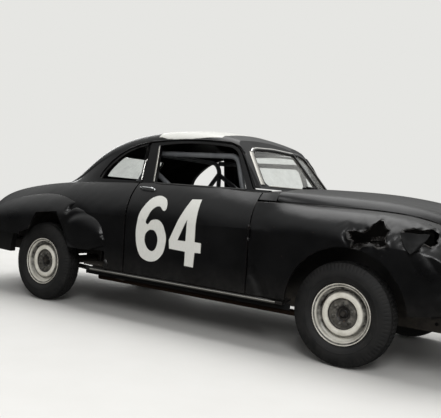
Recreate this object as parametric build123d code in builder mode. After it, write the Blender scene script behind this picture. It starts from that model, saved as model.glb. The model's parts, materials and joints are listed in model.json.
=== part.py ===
from build123d import *
import math
import os

# Two-door coupe stripped and caged as a short-track stock car.
# +X is the nose, +Y the car's left, +Z up, in millimetres. The origin is on the ground,
# on the centre plane, halfway along the car between its two bumper faces.

# Driving dimensions
wheelbase = 2921.0
front_axle_x = 1658.0
rear_axle_x = front_axle_x - wheelbase
front_track = 1448.0
rear_track = 1492.0
tyre_radius = 356.0
tyre_width = 172.0
bumper_face_x = 2509.0

# Body heights
sill_z = 395.0
waist_z = 850.0
window_sill_z = 1150.0
greenhouse_foot_z = 1060.0
hood_seam_z = 1070.0

# Wall thicknesses
side_wall = 55.0
door_frame_wall = 26.0
roof_wall = 34.0
fender_wall = 20.0
hood_wall = 22.0
lid_wall = 26.0
floor_wall = 18.0
apron_wall = 8.0
glass_wall = 6.0

# Gaps and fits
panel_gap = 9.0
seat_gap = 0.3
pin_clearance = 0.06

# Door, seen from the side
door_front_x = 950.0
door_rear_x = -215.0
hinge_barrel_r = 8.0
hinge_pin_r = 4.5
hinge_length = 60.0
door_hinge_y = 886.0
door_hinge_heights = (560.0, 830.0)

# Hood and trunk lid
hood_rear_x = 1124.0
hood_front_x = 2452.0
hood_hinge_x = 1117.0
hood_hinge_z = 1196.0
lid_front_x = -1395.0
lid_rear_x = -2392.0
lid_half_width = 520.0
lid_hinge_x = -1389.0
lid_hinge_z = 1098.0
lid_hinge_y = (300.0, -300.0)
lid_barrel_r = 7.5
lid_barrel_length = 50.0
hood_hinge_y = (260.0, -260.0)

# Inside the cab
seat_y = 335.0
seat_width = 370.0
steering_top_x = 560.0
steering_top_z = 985.0
steering_wheel_r = 205.0
cage_r = 22.0
cage_foot_z = 405.0
hoop_x = -300.0

# Chassis
rail_y = 385.0
rail_width = 64.0
rail_height = 110.0
rail_bottom_z = 284.0
rail_wall = 8.0
kick_up = 160.0
horn_hole_r = 13.0
# Columns: station, underside height, half length
crossmembers = (
    (2250.0, 324.0, 413.0),
    (1340.0, 324.0, 413.0),
    (100.0, 300.0, 413.0),
    (-700.0, 246.0, 357.0),
    (-1620.0, 440.0, 413.0),
    (-2250.0, 400.0, 413.0),
)
kingpin_y = 655.0
kingpin_r = 12.0
spindle_r = 17.0
axle_tube_r = 38.0

# Wheel
rim_wall = 5.0
drum_r = 142.0
hub_r = 38.0

# Arch openings
front_arch_x = 1700.0
front_arch_z = 385.0
front_arch_r = 426.0

os.makedirs("parts", exist_ok=True)


def save(part, name):
    """Label a finished piece and write it as its own STEP file."""
    part.label = name
    export_step(part, f"parts/{name}.step")


def block(x0, x1, y0, y1, z0, z1):
    """Plain block between two corners, used for dividing and cutting."""
    return Pos((x0 + x1) / 2, (y0 + y1) / 2, (z0 + z1) / 2) * Box(x1 - x0, y1 - y0, z1 - z0)


def cross_plane(x):
    """Plane across the car at station x, its own x along +Y and its own y up."""
    return Plane((x, 0, 0), x_dir=(0, 1, 0), z_dir=(1, 0, 0))


def side_plane(y):
    """Plane along the car at y, its own x along +X and its own y up; it faces -Y."""
    return Plane((0, y, 0), x_dir=(1, 0, 0), z_dir=(0, -1, 0))


def biggest(shape):
    """The largest solid of a cut shape, with its crumbs left behind."""
    return max(shape.solids(), key=lambda solid: solid.volume)


# Lower body
# Columns: station, sill half width, waist half width, shoulder half width, shoulder
# height, belt half width, belt height, crown above the belt
body_stations = (
    (1112.0, 872.0, 886.0, 820.0, 1048.0, 742.0, 1142.0, 50.0),
    (500.0, 871.0, 888.0, 824.0, 1048.0, 746.0, 1142.0, 30.0),
    (-100.0, 870.0, 888.0, 824.0, 1046.0, 746.0, 1139.0, 26.0),
    (-700.0, 866.0, 882.0, 812.0, 1032.0, 732.0, 1117.0, 26.0),
    (-1300.0, 846.0, 858.0, 776.0, 994.0, 690.0, 1074.0, 24.0),
    (-1900.0, 790.0, 802.0, 706.0, 908.0, 606.0, 982.0, 22.0),
    (-2250.0, 715.0, 728.0, 646.0, 784.0, 560.0, 856.0, 20.0),
    (-2420.0, 640.0, 652.0, 592.0, 632.0, 530.0, 690.0, 20.0),
)
tail_x = body_stations[-1][0]


def body_hull(inset):
    """Lower body from cowl to tail, drawn in all round by inset."""
    with BuildPart() as hull:
        for x, sill, waist, shoulder, shoulder_h, belt, belt_h, crown in body_stations:
            low = min(waist_z, shoulder_h - 90.0)
            foot = (sill - inset, sill_z - (40.0 if inset else 0.0))
            side = (waist - inset, low)
            bend = (shoulder - 0.8 * inset, shoulder_h - 0.5 * inset)
            top = (belt - 0.6 * inset, belt_h - inset)
            station = max(x, tail_x + inset)
            with BuildSketch(cross_plane(station)):
                with BuildLine():
                    Line((-foot[0], foot[1]), foot)
                    Line(foot, side)
                    ThreePointArc(side, bend, top)
                    ThreePointArc(top, (0, belt_h + crown - inset), (-top[0], top[1]))
                    ThreePointArc((-top[0], top[1]), (-bend[0], bend[1]), (-side[0], side[1]))
                    Line((-side[0], side[1]), (-foot[0], foot[1]))
                make_face()
        loft()
    return hull.part


# Greenhouse
# Columns: station, foot half width, rail half width, rail height, crown height
roof_stations = (
    (-1372.0, 592.0, 524.0, 1072.0, 1084.0),
    (-1310.0, 620.0, 542.0, 1084.0, 1104.0),
    (-1150.0, 660.0, 572.0, 1118.0, 1212.0),
    (-900.0, 700.0, 604.0, 1246.0, 1418.0),
    (-600.0, 722.0, 622.0, 1396.0, 1550.0),
    (-250.0, 736.0, 632.0, 1484.0, 1618.0),
    (150.0, 740.0, 634.0, 1512.0, 1638.0),
    (500.0, 728.0, 614.0, 1492.0, 1598.0),
    (789.0, 704.0, 572.0, 1408.0, 1492.0),
    (1140.0, 676.0, 526.0, 1190.0, 1290.0),
)


def roof_hull(inset):
    """Roof and pillars as one loft before the windshield is sliced off its front."""
    with BuildPart() as hull:
        for x, foot_y, rail, rail_h, crown in roof_stations:
            foot = (foot_y - inset, greenhouse_foot_z - 3 * inset)
            side = (rail - inset, rail_h - 0.4 * inset)
            turn = (0.955 * rail - inset, rail_h + 0.36 * (crown - rail_h) - 0.8 * inset)
            top = (0.85 * rail - inset, rail_h + 0.6 * (crown - rail_h) - inset)
            with BuildSketch(cross_plane(x)):
                with BuildLine():
                    Line((-foot[0], foot[1]), foot)
                    Line(foot, side)
                    ThreePointArc(side, turn, top)
                    ThreePointArc(top, (0, crown - inset), (-top[0], top[1]))
                    ThreePointArc((-top[0], top[1]), (-turn[0], turn[1]), (-side[0], side[1]))
                    Line((-side[0], side[1]), (-foot[0], foot[1]))
                make_face()
        loft()
    return hull.part


# Windshield surface, two flat panes meeting at the centre
# Each row: height, how far forward the centre stands, how far each pane falls back per
# unit of width
glass_low = (1100.0, 1139.0, 0.31)
glass_high = (1640.0, 647.0, 0.25)
glass_reach = 780.0


def ahead_of_glass(setback):
    """Everything ahead of the two windshield planes, moved back by setback."""
    with BuildPart() as ahead:
        for height, centre_x, fall in (glass_low, glass_high):
            middle = centre_x - setback
            side_x = middle - fall * glass_reach
            with BuildSketch(Plane.XY.offset(height)):
                with BuildLine():
                    Polyline(
                        (side_x, -glass_reach), (middle, 0), (side_x, glass_reach),
                        (1800, glass_reach), (1800, -glass_reach), close=True,
                    )
                make_face()
        loft(ruled=True)
    return ahead.part


# Windshield openings, seen from the front, either side of the centre bar
centre_bar_half = 9.0


def windshield_hole(margin):
    """Both windshield panes as prisms along X, shrunk all round by margin."""
    with BuildPart() as hole:
        with BuildSketch(cross_plane(560.0)):
            for side in (1, -1):
                inner = side * (centre_bar_half + margin)
                low_corner = (side * (575 - margin), 1184 + margin)
                shoulder = (side * (490 - margin), 1408)
                top_turn = (side * 404, 1464 - margin)
                with BuildLine():
                    Line((inner, 1184 + margin), low_corner)
                    Line(low_corner, shoulder)
                    ThreePointArc(shoulder, (side * (462 - margin), 1446 - margin), top_turn)
                    ThreePointArc(top_turn, (side * 220, 1473 - margin), (inner, 1459 - margin))
                    Line((inner, 1459 - margin), (inner, 1184 + margin))
                make_face()
        extrude(amount=700.0)
        low_edges = hole.edges().filter_by(Axis.X).filter_by(lambda e: e.center().Z < 1250)
        fillet(low_edges.filter_by(lambda e: abs(e.center().Y) > 300), 30.0)
    return hole.part


def rear_window_hole(margin):
    """Wide back window as a prism along X, shrunk all round by margin."""
    with BuildPart() as hole:
        with BuildSketch(cross_plane(-1400.0)):
            with BuildLine():
                Polyline(
                    (440 - margin, 1186 + margin),
                    (380 - margin, 1382 - margin),
                    (-380 + margin, 1382 - margin),
                    (-440 + margin, 1186 + margin),
                    close=True,
                )
            make_face()
            fillet(vertices(), 60.0)
        extrude(amount=640.0)
    return hole.part


def quarter_window(y0, y1):
    """Teardrop quarter window as a prism across the car."""
    with BuildPart() as hole:
        with BuildSketch(side_plane(y1)):
            with BuildLine():
                Line((-712, window_sill_z), (-250, window_sill_z))
                Line((-250, window_sill_z), (-255, 1452))
                ThreePointArc((-255, 1452), (-476, 1382), (-656, 1246))
                ThreePointArc((-656, 1246), (-694, 1196), (-712, window_sill_z))
            make_face()
        extrude(amount=y1 - y0)
    return hole.part


def door_window(y0, y1):
    """Door window as a prism across the car, its front edge raked with the pillar."""
    with BuildPart() as hole:
        with BuildSketch(side_plane(y1)):
            with BuildLine():
                Line((-83, window_sill_z), (776, window_sill_z))
                Line((776, window_sill_z), (657, 1392))
                ThreePointArc((657, 1392), (610, 1446), (540, 1467))
                ThreePointArc((540, 1467), (210, 1484), (-110, 1458))
                Line((-110, 1458), (-83, window_sill_z))
            make_face()
        extrude(amount=y1 - y0)
    return hole.part


def door_outline(y0, y1, grow):
    """Whole door seen from the side, as a prism across the car, grown by grow."""
    with BuildPart() as hole:
        with BuildSketch(side_plane(y1)):
            with BuildLine():
                Line((door_rear_x, sill_z), (door_front_x, sill_z))
                Line((door_front_x, sill_z), (door_front_x, 1149))
                Line((door_front_x, 1149), (828, 1150))
                Line((828, 1150), (674, 1410))
                ThreePointArc((674, 1410), (622, 1464), (546, 1487))
                ThreePointArc((546, 1487), (200, 1504), (door_rear_x, 1477))
                Line((door_rear_x, 1477), (door_rear_x, sill_z))
            make_face()
            if grow:
                offset(amount=grow)
        extrude(amount=y1 - y0)
    return hole.part


def quarter_corner(y0, y1):
    """Room behind the door frame's upper rear corner, which swings back as it opens."""
    return block(-252, door_rear_x, y0, y1, 1330, 1487)


def tube_path(points, radius, bend):
    """Round bar swept along straight runs joined by tangent arcs."""
    with BuildPart() as tube:
        with BuildLine() as path:
            FilletPolyline(*points, radius=bend)
        with BuildSketch(Plane(origin=path.line @ 0, z_dir=path.line % 0)):
            Circle(radius)
        sweep()
    return tube.part


def rod(start, end, radius):
    """Straight round bar between two points."""
    a = Vector(*start)
    b = Vector(*end)
    with BuildPart() as bar:
        with BuildSketch(Plane(origin=a, z_dir=b - a)):
            Circle(radius)
        extrude(amount=(b - a).length)
    return bar.part


def hinge_leaf(x, y, z, reach):
    """Fixed half of a lid hinge: two knuckles, a pin and the tongue that carries them."""
    span = lid_barrel_length
    with BuildPart() as leaf:
        with BuildSketch(Plane.XZ.offset(-y - 1.5 * span)):
            with Locations((x, z)):
                Circle(lid_barrel_r)
        extrude(amount=span - 1)
        with BuildSketch(Plane.XZ.offset(-y + 0.5 * span + 1)):
            with Locations((x, z)):
                Circle(lid_barrel_r)
        extrude(amount=span - 1)
        with BuildSketch(Plane.XZ.offset(-y - 1.5 * span)):
            with Locations((x, z)):
                Circle(hinge_pin_r)
        extrude(amount=3 * span)
    tongues = [
        block(min(x, x + reach), max(x, x + reach), y + a, y + b, z - 26, z - 1)
        for a, b in ((-1.5 * span, -0.5 * span - 1), (0.5 * span + 1, 1.5 * span))
    ]
    return leaf.part + tongues[0] + tongues[1]


# Body shells that the panels are cut from
outer_body = body_hull(0.0)
body_shell = outer_body - body_hull(side_wall)
outer_roof = roof_hull(0.0)
solid_roof = outer_roof - ahead_of_glass(0.0)

# Cab shell: roof, pillars and window surrounds
roof_shell = solid_roof - (roof_hull(roof_wall) - ahead_of_glass(roof_wall))
roof_foot = block(-1372, 1140, -760, 760, window_sill_z - 8, 1700)
roof_foot = roof_foot + block(-1372, -290, -760, 760, 1060, 1200)
roof_shell = roof_shell & roof_foot
roof_shell = roof_shell - windshield_hole(0.0) - rear_window_hole(0.0)
post_shell = roof_hull(roof_wall - 1.0) - roof_hull(roof_wall + 28.0)
for y0, y1 in ((400, 800), (-800, -400)):
    roof_shell = roof_shell - quarter_window(y0, y1) - door_outline(y0, y1, panel_gap)
    roof_shell = roof_shell - quarter_corner(y0, y1)
    roof_shell = roof_shell + (post_shell & block(-276, -150, y0, y1, window_sill_z - 8, 1520))
seat_on_body = body_hull(-seat_gap) & block(-1400, -290, -800, 800, 1000, 1300)
cab_shell = biggest(roof_shell - seat_on_body)
save(cab_shell, "cab_shell")

# Doors: whole wall thickness below the belt, a lighter frame round the window above it
frame_shell = outer_roof - roof_hull(door_frame_wall)
barrel_x = door_front_x + panel_gap / 2
lower_door = body_shell & door_outline(560, 920, 0) & block(-300, 1000, 672, 920, 390, 1170)
upper_door = frame_shell & door_outline(520, 800, 0) & block(-300, 1000, 520, 800, 1120, 1520)
door_left = lower_door + upper_door - door_window(500, 900)
for height in door_hinge_heights:
    with BuildPart() as barrel:
        with Locations((barrel_x, door_hinge_y, height)):
            Cylinder(hinge_barrel_r, hinge_length)
    with BuildPart() as barrel_bore:
        with Locations((barrel_x, door_hinge_y, height)):
            Cylinder(hinge_pin_r + pin_clearance, hinge_length + 2)
    with BuildPart() as leaf_room:
        with Locations(
            (barrel_x, door_hinge_y, height + 0.75 * hinge_length + 1),
            (barrel_x, door_hinge_y, height - 0.75 * hinge_length - 1),
        ):
            Cylinder(hinge_barrel_r + 2, hinge_length / 2 + 2)
    door_left = door_left - leaf_room.part + barrel.part - barrel_bore.part
door_left = biggest(door_left)
save(door_left, "door_left")
door_right = mirror(door_left, about=Plane.XZ)
save(door_right, "door_right")

# Rear wheel openings, cut to an uneven line when the car was built
rear_opening = (
    (-1480, 300),
    (-1475, 608),
    (-1352, 650),
    (-1262, 802),
    (-1000, 832),
    (-935, 745),
    (-828, 536),
    (-620, 536),
    (-430, 596),
    (-430, 300),
)


def rear_wheel_cut(y0, y1):
    """The opening round the rear wheel and the lost lower corner ahead of it."""
    with BuildPart() as hole:
        with BuildSketch(side_plane(y1)):
            with BuildLine():
                Polyline(*rear_opening, close=True)
            make_face()
        extrude(amount=y1 - y0)
    return hole.part


house_r = 462.0


def wheelhouse(y0, y1, radius):
    """Room for a rear wheel inside the body wall."""
    with BuildPart() as room:
        with BuildSketch(side_plane(y1)):
            with Locations((rear_axle_x, 380)):
                Circle(radius)
            with Locations((rear_axle_x, 200)):
                Rectangle(2 * radius, 360)
        extrude(amount=y1 - y0)
    return room.part


# Trunk lid, quarter panels and tail panel
lid_zone = block(lid_rear_x, lid_front_x, -lid_half_width, lid_half_width, 660, 1200)
lid_skin = outer_body - body_hull(lid_wall)
trunk_lid = lid_skin & block(
    lid_rear_x + panel_gap,
    lid_front_x - panel_gap,
    -lid_half_width + panel_gap,
    lid_half_width - panel_gap,
    690,
    1200,
)
trunk_lid = biggest(trunk_lid)
for y in lid_hinge_y:
    with BuildPart() as lid_barrel:
        with BuildSketch(Plane.XZ.offset(-y - lid_barrel_length / 2)):
            with Locations((lid_hinge_x, lid_hinge_z)):
                Circle(lid_barrel_r)
        extrude(amount=lid_barrel_length)
    with BuildPart() as lid_bore:
        with BuildSketch(Plane.XZ.offset(-y - lid_barrel_length)):
            with Locations((lid_hinge_x, lid_hinge_z)):
                Circle(hinge_pin_r + pin_clearance)
        extrude(amount=2 * lid_barrel_length)
    tongue = block(lid_hinge_x - 46, lid_hinge_x, y - 25, y + 25, lid_hinge_z - 28, lid_hinge_z - 1)
    trunk_lid = trunk_lid + lid_barrel.part + tongue - lid_bore.part
save(biggest(trunk_lid), "trunk_lid")
quarter_shell = body_shell - lid_zone - block(-1215, -890, -540, 540, 1000, 1300)
quarter_shell = quarter_shell - block(-900, -200, -630, 630, 1000, 1300)
tail_zone = block(tail_x - 5, -2330, -500, 500, 380, 800)
quarter_left = quarter_shell & block(tail_x - 5, door_rear_x - 15, 0.15, 920, 390, 1300)
quarter_left = quarter_left - tail_zone - wheelhouse(600, 920, house_r)
quarter_left = quarter_left - block(-300, -200, 600, 722, 1050, 1300)
quarter_left = quarter_left - block(-900, -440, 700, 920, 380, 540)
for y in lid_hinge_y:
    notch = block(lid_hinge_x - 8, lid_hinge_x + 10, y - 26, y + 26, 1000, lid_hinge_z + 40)
    quarter_left = quarter_left - notch
quarter_left = quarter_left + hinge_leaf(lid_hinge_x, lid_hinge_y[0], lid_hinge_z, 16)
quarter_left = biggest(quarter_left)
save(quarter_left, "quarter_left")
save(mirror(quarter_left, about=Plane.XZ), "quarter_right")
tail_panel = body_shell & block(tail_x - 5, -2330 - seat_gap, -500 + seat_gap, 500 - seat_gap, 380, 690)
for y in (rail_y, -rail_y):
    tail_panel = tail_panel - block(-2450, -2300, y - 30, y + 30, 385, 490)
tail_panel = biggest(tail_panel)
save(tail_panel, "tail_panel")

# Front fenders, their headlamps taken out and blanked
lamp_r = 98.0
# Columns: station, inner edge y and z, crown y and z, side y and z, foot y and z
fender_stations = (
    (door_front_x + panel_gap, 812.0, 1060.0, 850.0, 980.0, 886.0, 850.0, 870.0, 395.0),
    (1130.0, 800.0, 1064.0, 850.0, 990.0, 892.0, 850.0, 876.0, 395.0),
    (1300.0, 744.0, 1064.0, 822.0, 1024.0, 902.0, 850.0, 884.0, 395.0),
    (1658.0, 664.0, 1060.0, 790.0, 1036.0, 912.0, 850.0, 895.0, 395.0),
    (2000.0, 599.0, 1042.0, 764.0, 1020.0, 906.0, 840.0, 888.0, 420.0),
    (2200.0, 540.0, 998.0, 736.0, 974.0, 884.0, 820.0, 872.0, 440.0),
    (2340.0, 490.0, 938.0, 690.0, 905.0, 838.0, 760.0, 830.0, 470.0),
    (2436.0, 455.0, 864.0, 620.0, 826.0, 748.0, 680.0, 744.0, 500.0),
)


def fender_hull(inset):
    """Front fender as a solid, or the room inside it when inset is the skin."""
    with BuildPart() as hull:
        for x, in_y, in_z, top_y, top_z, out_y, out_z, foot_y, foot_z in fender_stations:
            inner = (in_y - 4 * inset, in_z - 1.2 * inset)
            crown = (top_y - 0.75 * inset, top_z - 0.85 * inset)
            side = (out_y - inset, out_z)
            foot = (foot_y - inset, foot_z - 3 * inset)
            station = min(x, fender_stations[-1][0] - inset) if x > 2400 else x
            with BuildSketch(cross_plane(station)):
                with BuildLine():
                    Line((inner[0], foot[1]), inner)
                    ThreePointArc(inner, crown, side)
                    Line(side, foot)
                    Line(foot, (inner[0], foot[1]))
                make_face()
        loft()
    return hull.part


def front_arch(y0, y1):
    """Round front wheel opening."""
    with BuildPart() as hole:
        with BuildSketch(side_plane(y1)):
            with Locations((front_arch_x, front_arch_z)):
                Circle(front_arch_r)
            with Locations((front_arch_x, front_arch_z - 150)):
                Rectangle(2 * front_arch_r, 300)
        extrude(amount=y1 - y0)
    return hole.part


fender_left = fender_hull(0.0) - fender_hull(fender_wall) - front_arch(500, 1000)
with BuildPart() as hinge_leaves:
    for height in door_hinge_heights:
        with Locations(
            (barrel_x, door_hinge_y, height + 0.75 * hinge_length + 1),
            (barrel_x, door_hinge_y, height - 0.75 * hinge_length - 1),
        ):
            Cylinder(hinge_barrel_r, hinge_length / 2)
        with Locations((barrel_x, door_hinge_y, height)):
            Cylinder(hinge_pin_r, 2 * hinge_length)
with BuildPart() as barrel_room:
    for height in door_hinge_heights:
        with Locations((barrel_x, door_hinge_y, height)):
            Cylinder(hinge_barrel_r + 2, hinge_length + 2)
with BuildPart() as lamp:
    with BuildSketch(cross_plane(fender_stations[-1][0] - 6)):
        with Locations((600, 704)):
            Circle(lamp_r)
    extrude(amount=22)
    with BuildSketch(cross_plane(fender_stations[-1][0] + 6)):
        with Locations((600, 704)):
            Circle(lamp_r - 14)
    extrude(amount=12, mode=Mode.SUBTRACT)
fender_left = fender_left + lamp.part
fender_left = biggest(fender_left - barrel_room.part + hinge_leaves.part)
save(fender_left, "fender_front_left")

# Two tears in the right front fender, seen from the side
tears = (
    (
        (1698, 915), (1752, 926), (1790, 916), (1836, 954), (1882, 1006), (1906, 1000), (1934, 964),
        (1962, 946), (1952, 896), (1970, 850), (1912, 828), (1872, 850), (1822, 838), (1786, 806),
        (1738, 812), (1742, 858), (1716, 870),
    ),
    (
        (2040, 956), (2092, 974), (2150, 966), (2196, 976), (2238, 950), (2250, 888), (2226, 862),
        (2180, 884), (2128, 858), (2092, 892), (2052, 902),
    ),
)
fender_right = mirror(fender_left, about=Plane.XZ)
for outline in tears:
    with BuildPart() as tear:
        with BuildSketch(side_plane(-700)):
            with BuildLine():
                Polyline(*outline, close=True)
            make_face()
        extrude(amount=300)
    fender_right = fender_right - tear.part
fender_right = biggest(fender_right)
save(fender_right, "fender_front_right")

# Rear fenders
# Columns: station, crown height, side half width, side height
blister_stations = (
    (-392.0, 720.0, 880.0, 560.0),
    (-450.0, 845.0, 902.0, 640.0),
    (-620.0, 945.0, 926.0, 700.0),
    (-940.0, 1002.0, 937.0, 740.0),
    (-1250.0, 992.0, 938.0, 740.0),
    (-1600.0, 938.0, 924.0, 700.0),
    (-1950.0, 852.0, 878.0, 640.0),
    (-2220.0, 745.0, 806.0, 580.0),
    (-2380.0, 640.0, 722.0, 520.0),
)
blister_inner_y = 560.0


def blister_hull(inset):
    """Rear fender bulge, as a solid or as the room inside it."""
    with BuildPart() as hull:
        for x, crown_z, side_y, side_z in blister_stations:
            station = min(max(x, -2380 + inset), -392 - inset)
            top = (blister_inner_y, crown_z - inset)
            bend = (
                blister_inner_y + 0.76 * (side_y - inset - blister_inner_y),
                side_z + 0.80 * (crown_z - inset - side_z),
            )
            side = (side_y - inset, side_z)
            foot = (side_y - inset - 10, 395 - 3 * inset)
            with BuildSketch(cross_plane(station)):
                with BuildLine():
                    Line((blister_inner_y, foot[1]), top)
                    ThreePointArc(top, bend, side)
                    Line(side, foot)
                    Line(foot, (blister_inner_y, foot[1]))
                make_face()
        loft()
    return hull.part


trimmed_tail = block(-2500, -1460, 500, 1000, 300, 585)
rear_fender = blister_hull(0.0) - blister_hull(fender_wall) - body_hull(-2 * seat_gap)
rear_fender = rear_fender - rear_wheel_cut(500, 1000) - trimmed_tail
rear_fender = biggest(rear_fender)
save(rear_fender, "fender_rear_left")
save(mirror(rear_fender, about=Plane.XZ), "fender_rear_right")

# Hood
# Columns: station, edge y and z, shoulder y and z, crown z
hood_stations = (
    (hood_rear_x, 800.0, 1074.0, 742.0, 1144.0, 1193.0),
    (1300.0, 736.0, 1074.0, 646.0, 1148.0, 1198.0),
    (1658.0, 654.0, 1070.0, 528.0, 1146.0, 1193.0),
    (2000.0, 588.0, 1052.0, 456.0, 1120.0, 1160.0),
    (2200.0, 530.0, 1008.0, 400.0, 1074.0, 1116.0),
    (2340.0, 480.0, 948.0, 352.0, 1008.0, 1048.0),
    (hood_front_x, 440.0, 876.0, 300.0, 892.0, 902.0),
)


def hood_hull(inset):
    """Hood as a solid loft, or the room under it when inset is the skin."""
    with BuildPart() as hull:
        for x, edge_y, edge_z, bend_y, bend_z, crown_z in hood_stations:
            drop = 40.0 if inset else 0.0
            edge = (edge_y - 0.9 * inset, edge_z - drop)
            bend = (bend_y - 0.6 * inset, bend_z - 0.9 * inset)
            turn = (
                0.5 * (edge_y + bend_y) + 14 - 0.8 * inset,
                0.5 * (edge_z + bend_z) + 12 - 0.6 * inset,
            )
            station = hood_front_x - inset if x == hood_front_x else x
            with BuildSketch(cross_plane(station)):
                with BuildLine():
                    Line((-edge[0], edge[1]), edge)
                    ThreePointArc(edge, turn, bend)
                    ThreePointArc(bend, (0, crown_z - inset), (-bend[0], bend[1]))
                    ThreePointArc((-bend[0], bend[1]), (-turn[0], turn[1]), (-edge[0], edge[1]))
                make_face()
        loft()
    return hull.part


hood = biggest(hood_hull(0.0) - hood_hull(hood_wall))
for y in hood_hinge_y:
    with BuildPart() as hood_barrel:
        with BuildSketch(Plane.XZ.offset(-y - lid_barrel_length / 2)):
            with Locations((hood_hinge_x, hood_hinge_z)):
                Circle(lid_barrel_r)
        extrude(amount=lid_barrel_length)
    with BuildPart() as hood_bore:
        with BuildSketch(Plane.XZ.offset(-y - lid_barrel_length)):
            with Locations((hood_hinge_x, hood_hinge_z)):
                Circle(hinge_pin_r + pin_clearance)
        extrude(amount=2 * lid_barrel_length)
    tongue = block(hood_hinge_x, hood_hinge_x + 40, y - 25, y + 25, hood_hinge_z - 28, hood_hinge_z - 1)
    hood = hood + hood_barrel.part + tongue - hood_bore.part
save(biggest(hood), "hood")

# Cowl between the hood and the windshield
cowl = (outer_body - body_hull(hood_wall)) & block(860, 1112, -820, 820, hood_seam_z + 4, 1300)
cowl = cowl - (roof_hull(-seat_gap) - ahead_of_glass(-seat_gap))
for y0, y1 in ((560, 900), (-900, -560)):
    cowl = cowl - door_outline(y0, y1, panel_gap)
cowl = biggest(cowl)
for y in hood_hinge_y:
    cowl = cowl + hinge_leaf(hood_hinge_x, y, hood_hinge_z, -40)
save(biggest(cowl), "cowl")

# Firewall with the two door pillars
firewall = block(1030, 1048, -900, 900, sill_z, hood_seam_z + 60) & body_hull(hood_wall + seat_gap)
firewall = firewall - block(1000, 1100, -124, 124, 380, 520)
fender_room = fender_hull(fender_wall + seat_gap)
fender_skin = fender_hull(0.0) - fender_room
post = block(964, 1048, 802, 900, sill_z, hood_seam_z) & fender_room
firewall = firewall - fender_skin - mirror(fender_skin, about=Plane.XZ)
firewall = firewall + post + mirror(post, about=Plane.XZ)
save(biggest(firewall), "firewall")

# Floor with its tunnel
floor_z = rail_bottom_z + rail_height + seat_gap
floor_rear_x = -745.0
with BuildPart() as floor:
    with BuildSketch(Plane.XY.offset(floor_z)):
        with BuildLine():
            Polyline(
                (floor_rear_x, -800), (1029.7, -800), (1029.7, 800), (floor_rear_x, 800), close=True
            )
        make_face()
    extrude(amount=floor_wall)
    with BuildSketch(cross_plane(floor_rear_x)):
        with BuildLine():
            Line((-140, floor_z), (140, floor_z))
            Line((140, floor_z), (112, 516))
            ThreePointArc((112, 516), (0, 556), (-112, 516))
            Line((-112, 516), (-140, floor_z))
        make_face()
    extrude(amount=1029.7 - floor_rear_x)
    with BuildSketch(cross_plane(floor_rear_x - 1)):
        with BuildLine():
            Line((-124, floor_z - 1), (124, floor_z - 1))
            Line((124, floor_z - 1), (98, 506))
            ThreePointArc((98, 506), (0, 540), (-98, 506))
            Line((-98, 506), (-124, floor_z - 1))
        make_face()
    extrude(amount=1032 - floor_rear_x, mode=Mode.SUBTRACT)
save(floor.part, "floor")
floor_top_z = floor_z + floor_wall

# Trunk floor over the axle, with the bulkhead behind the seat
deck_z = rail_bottom_z + 90.0 + rail_height + seat_gap
with BuildPart() as trunk_floor:
    with BuildSketch(side_plane(585)):
        with BuildLine():
            Polyline(
                (-2328, deck_z),
                (-1800, deck_z),
                (-1560, deck_z + 70),
                (floor_rear_x - seat_gap - 16, deck_z + 70),
                (floor_rear_x - seat_gap - 16, floor_z),
                (floor_rear_x - seat_gap, floor_z),
                (floor_rear_x - seat_gap, deck_z + 88),
                (-889, deck_z + 88),
                (-998, 1050),
                (-1016, 1050),
                (-907, deck_z + 88),
                (-1562, deck_z + 88),
                (-1802, deck_z + 18),
                (-2328, deck_z + 18),
                close=True,
            )
        make_face()
    extrude(amount=1170)
    with Locations((floor_rear_x, 0, floor_z + 62)):
        Box(80, 248, 126, mode=Mode.SUBTRACT)
tub_inner_y = 585.0
trunk_piece = trunk_floor.part
for side in (1, -1):
    y0, y1 = sorted((side * (tub_inner_y - apron_wall), side * 770))
    tub = wheelhouse(y0, y1, house_r - seat_gap)
    y0, y1 = sorted((side * tub_inner_y, side * 800))
    tub = tub - wheelhouse(y0, y1, house_r - seat_gap - apron_wall)
    tub = (tub & body_hull(side_wall + seat_gap)) - block(-2000, -700, -900, 900, 0, deck_z + 60)
    trunk_piece = trunk_piece + tub
save(biggest(trunk_piece), "trunk_floor")

# Dash panel
dash_half_width = 606.0
with BuildPart() as dash:
    with BuildSketch(side_plane(dash_half_width)):
        with BuildLine():
            Line((1029.7, 1100), (900, 1114))
            ThreePointArc((900, 1114), (838, 1092), (820, 1040))
            Line((820, 1040), (832, 950))
            Line((832, 950), (848, 952))
            Line((848, 952), (838, 1040))
            ThreePointArc((838, 1040), (852, 1080), (900, 1096))
            Line((900, 1096), (1029.7, 1082))
            Line((1029.7, 1082), (1029.7, 1100))
        make_face()
    extrude(amount=2 * dash_half_width)
save(dash.part, "dash_panel")

# Driver's seat
with BuildPart() as seat:
    with BuildSketch(side_plane(seat_y + seat_width / 2)):
        with BuildLine():
            Line((-130, floor_top_z + seat_gap), (420, floor_top_z + seat_gap))
            Line((420, floor_top_z + seat_gap), (440, 600))
            ThreePointArc((440, 600), (420, 650), (370, 655))
            Line((370, 655), (-20, 610))
            Line((-20, 610), (-160, 1090))
            ThreePointArc((-160, 1090), (-210, 1120), (-260, 1080))
            Line((-260, 1080), (-130, floor_top_z + seat_gap))
        make_face()
    extrude(amount=seat_width)
    fillet(seat.edges().filter_by(GeomType.LINE).group_by(Axis.Z)[-1], 12)
save(seat.part, "seat")

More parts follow.
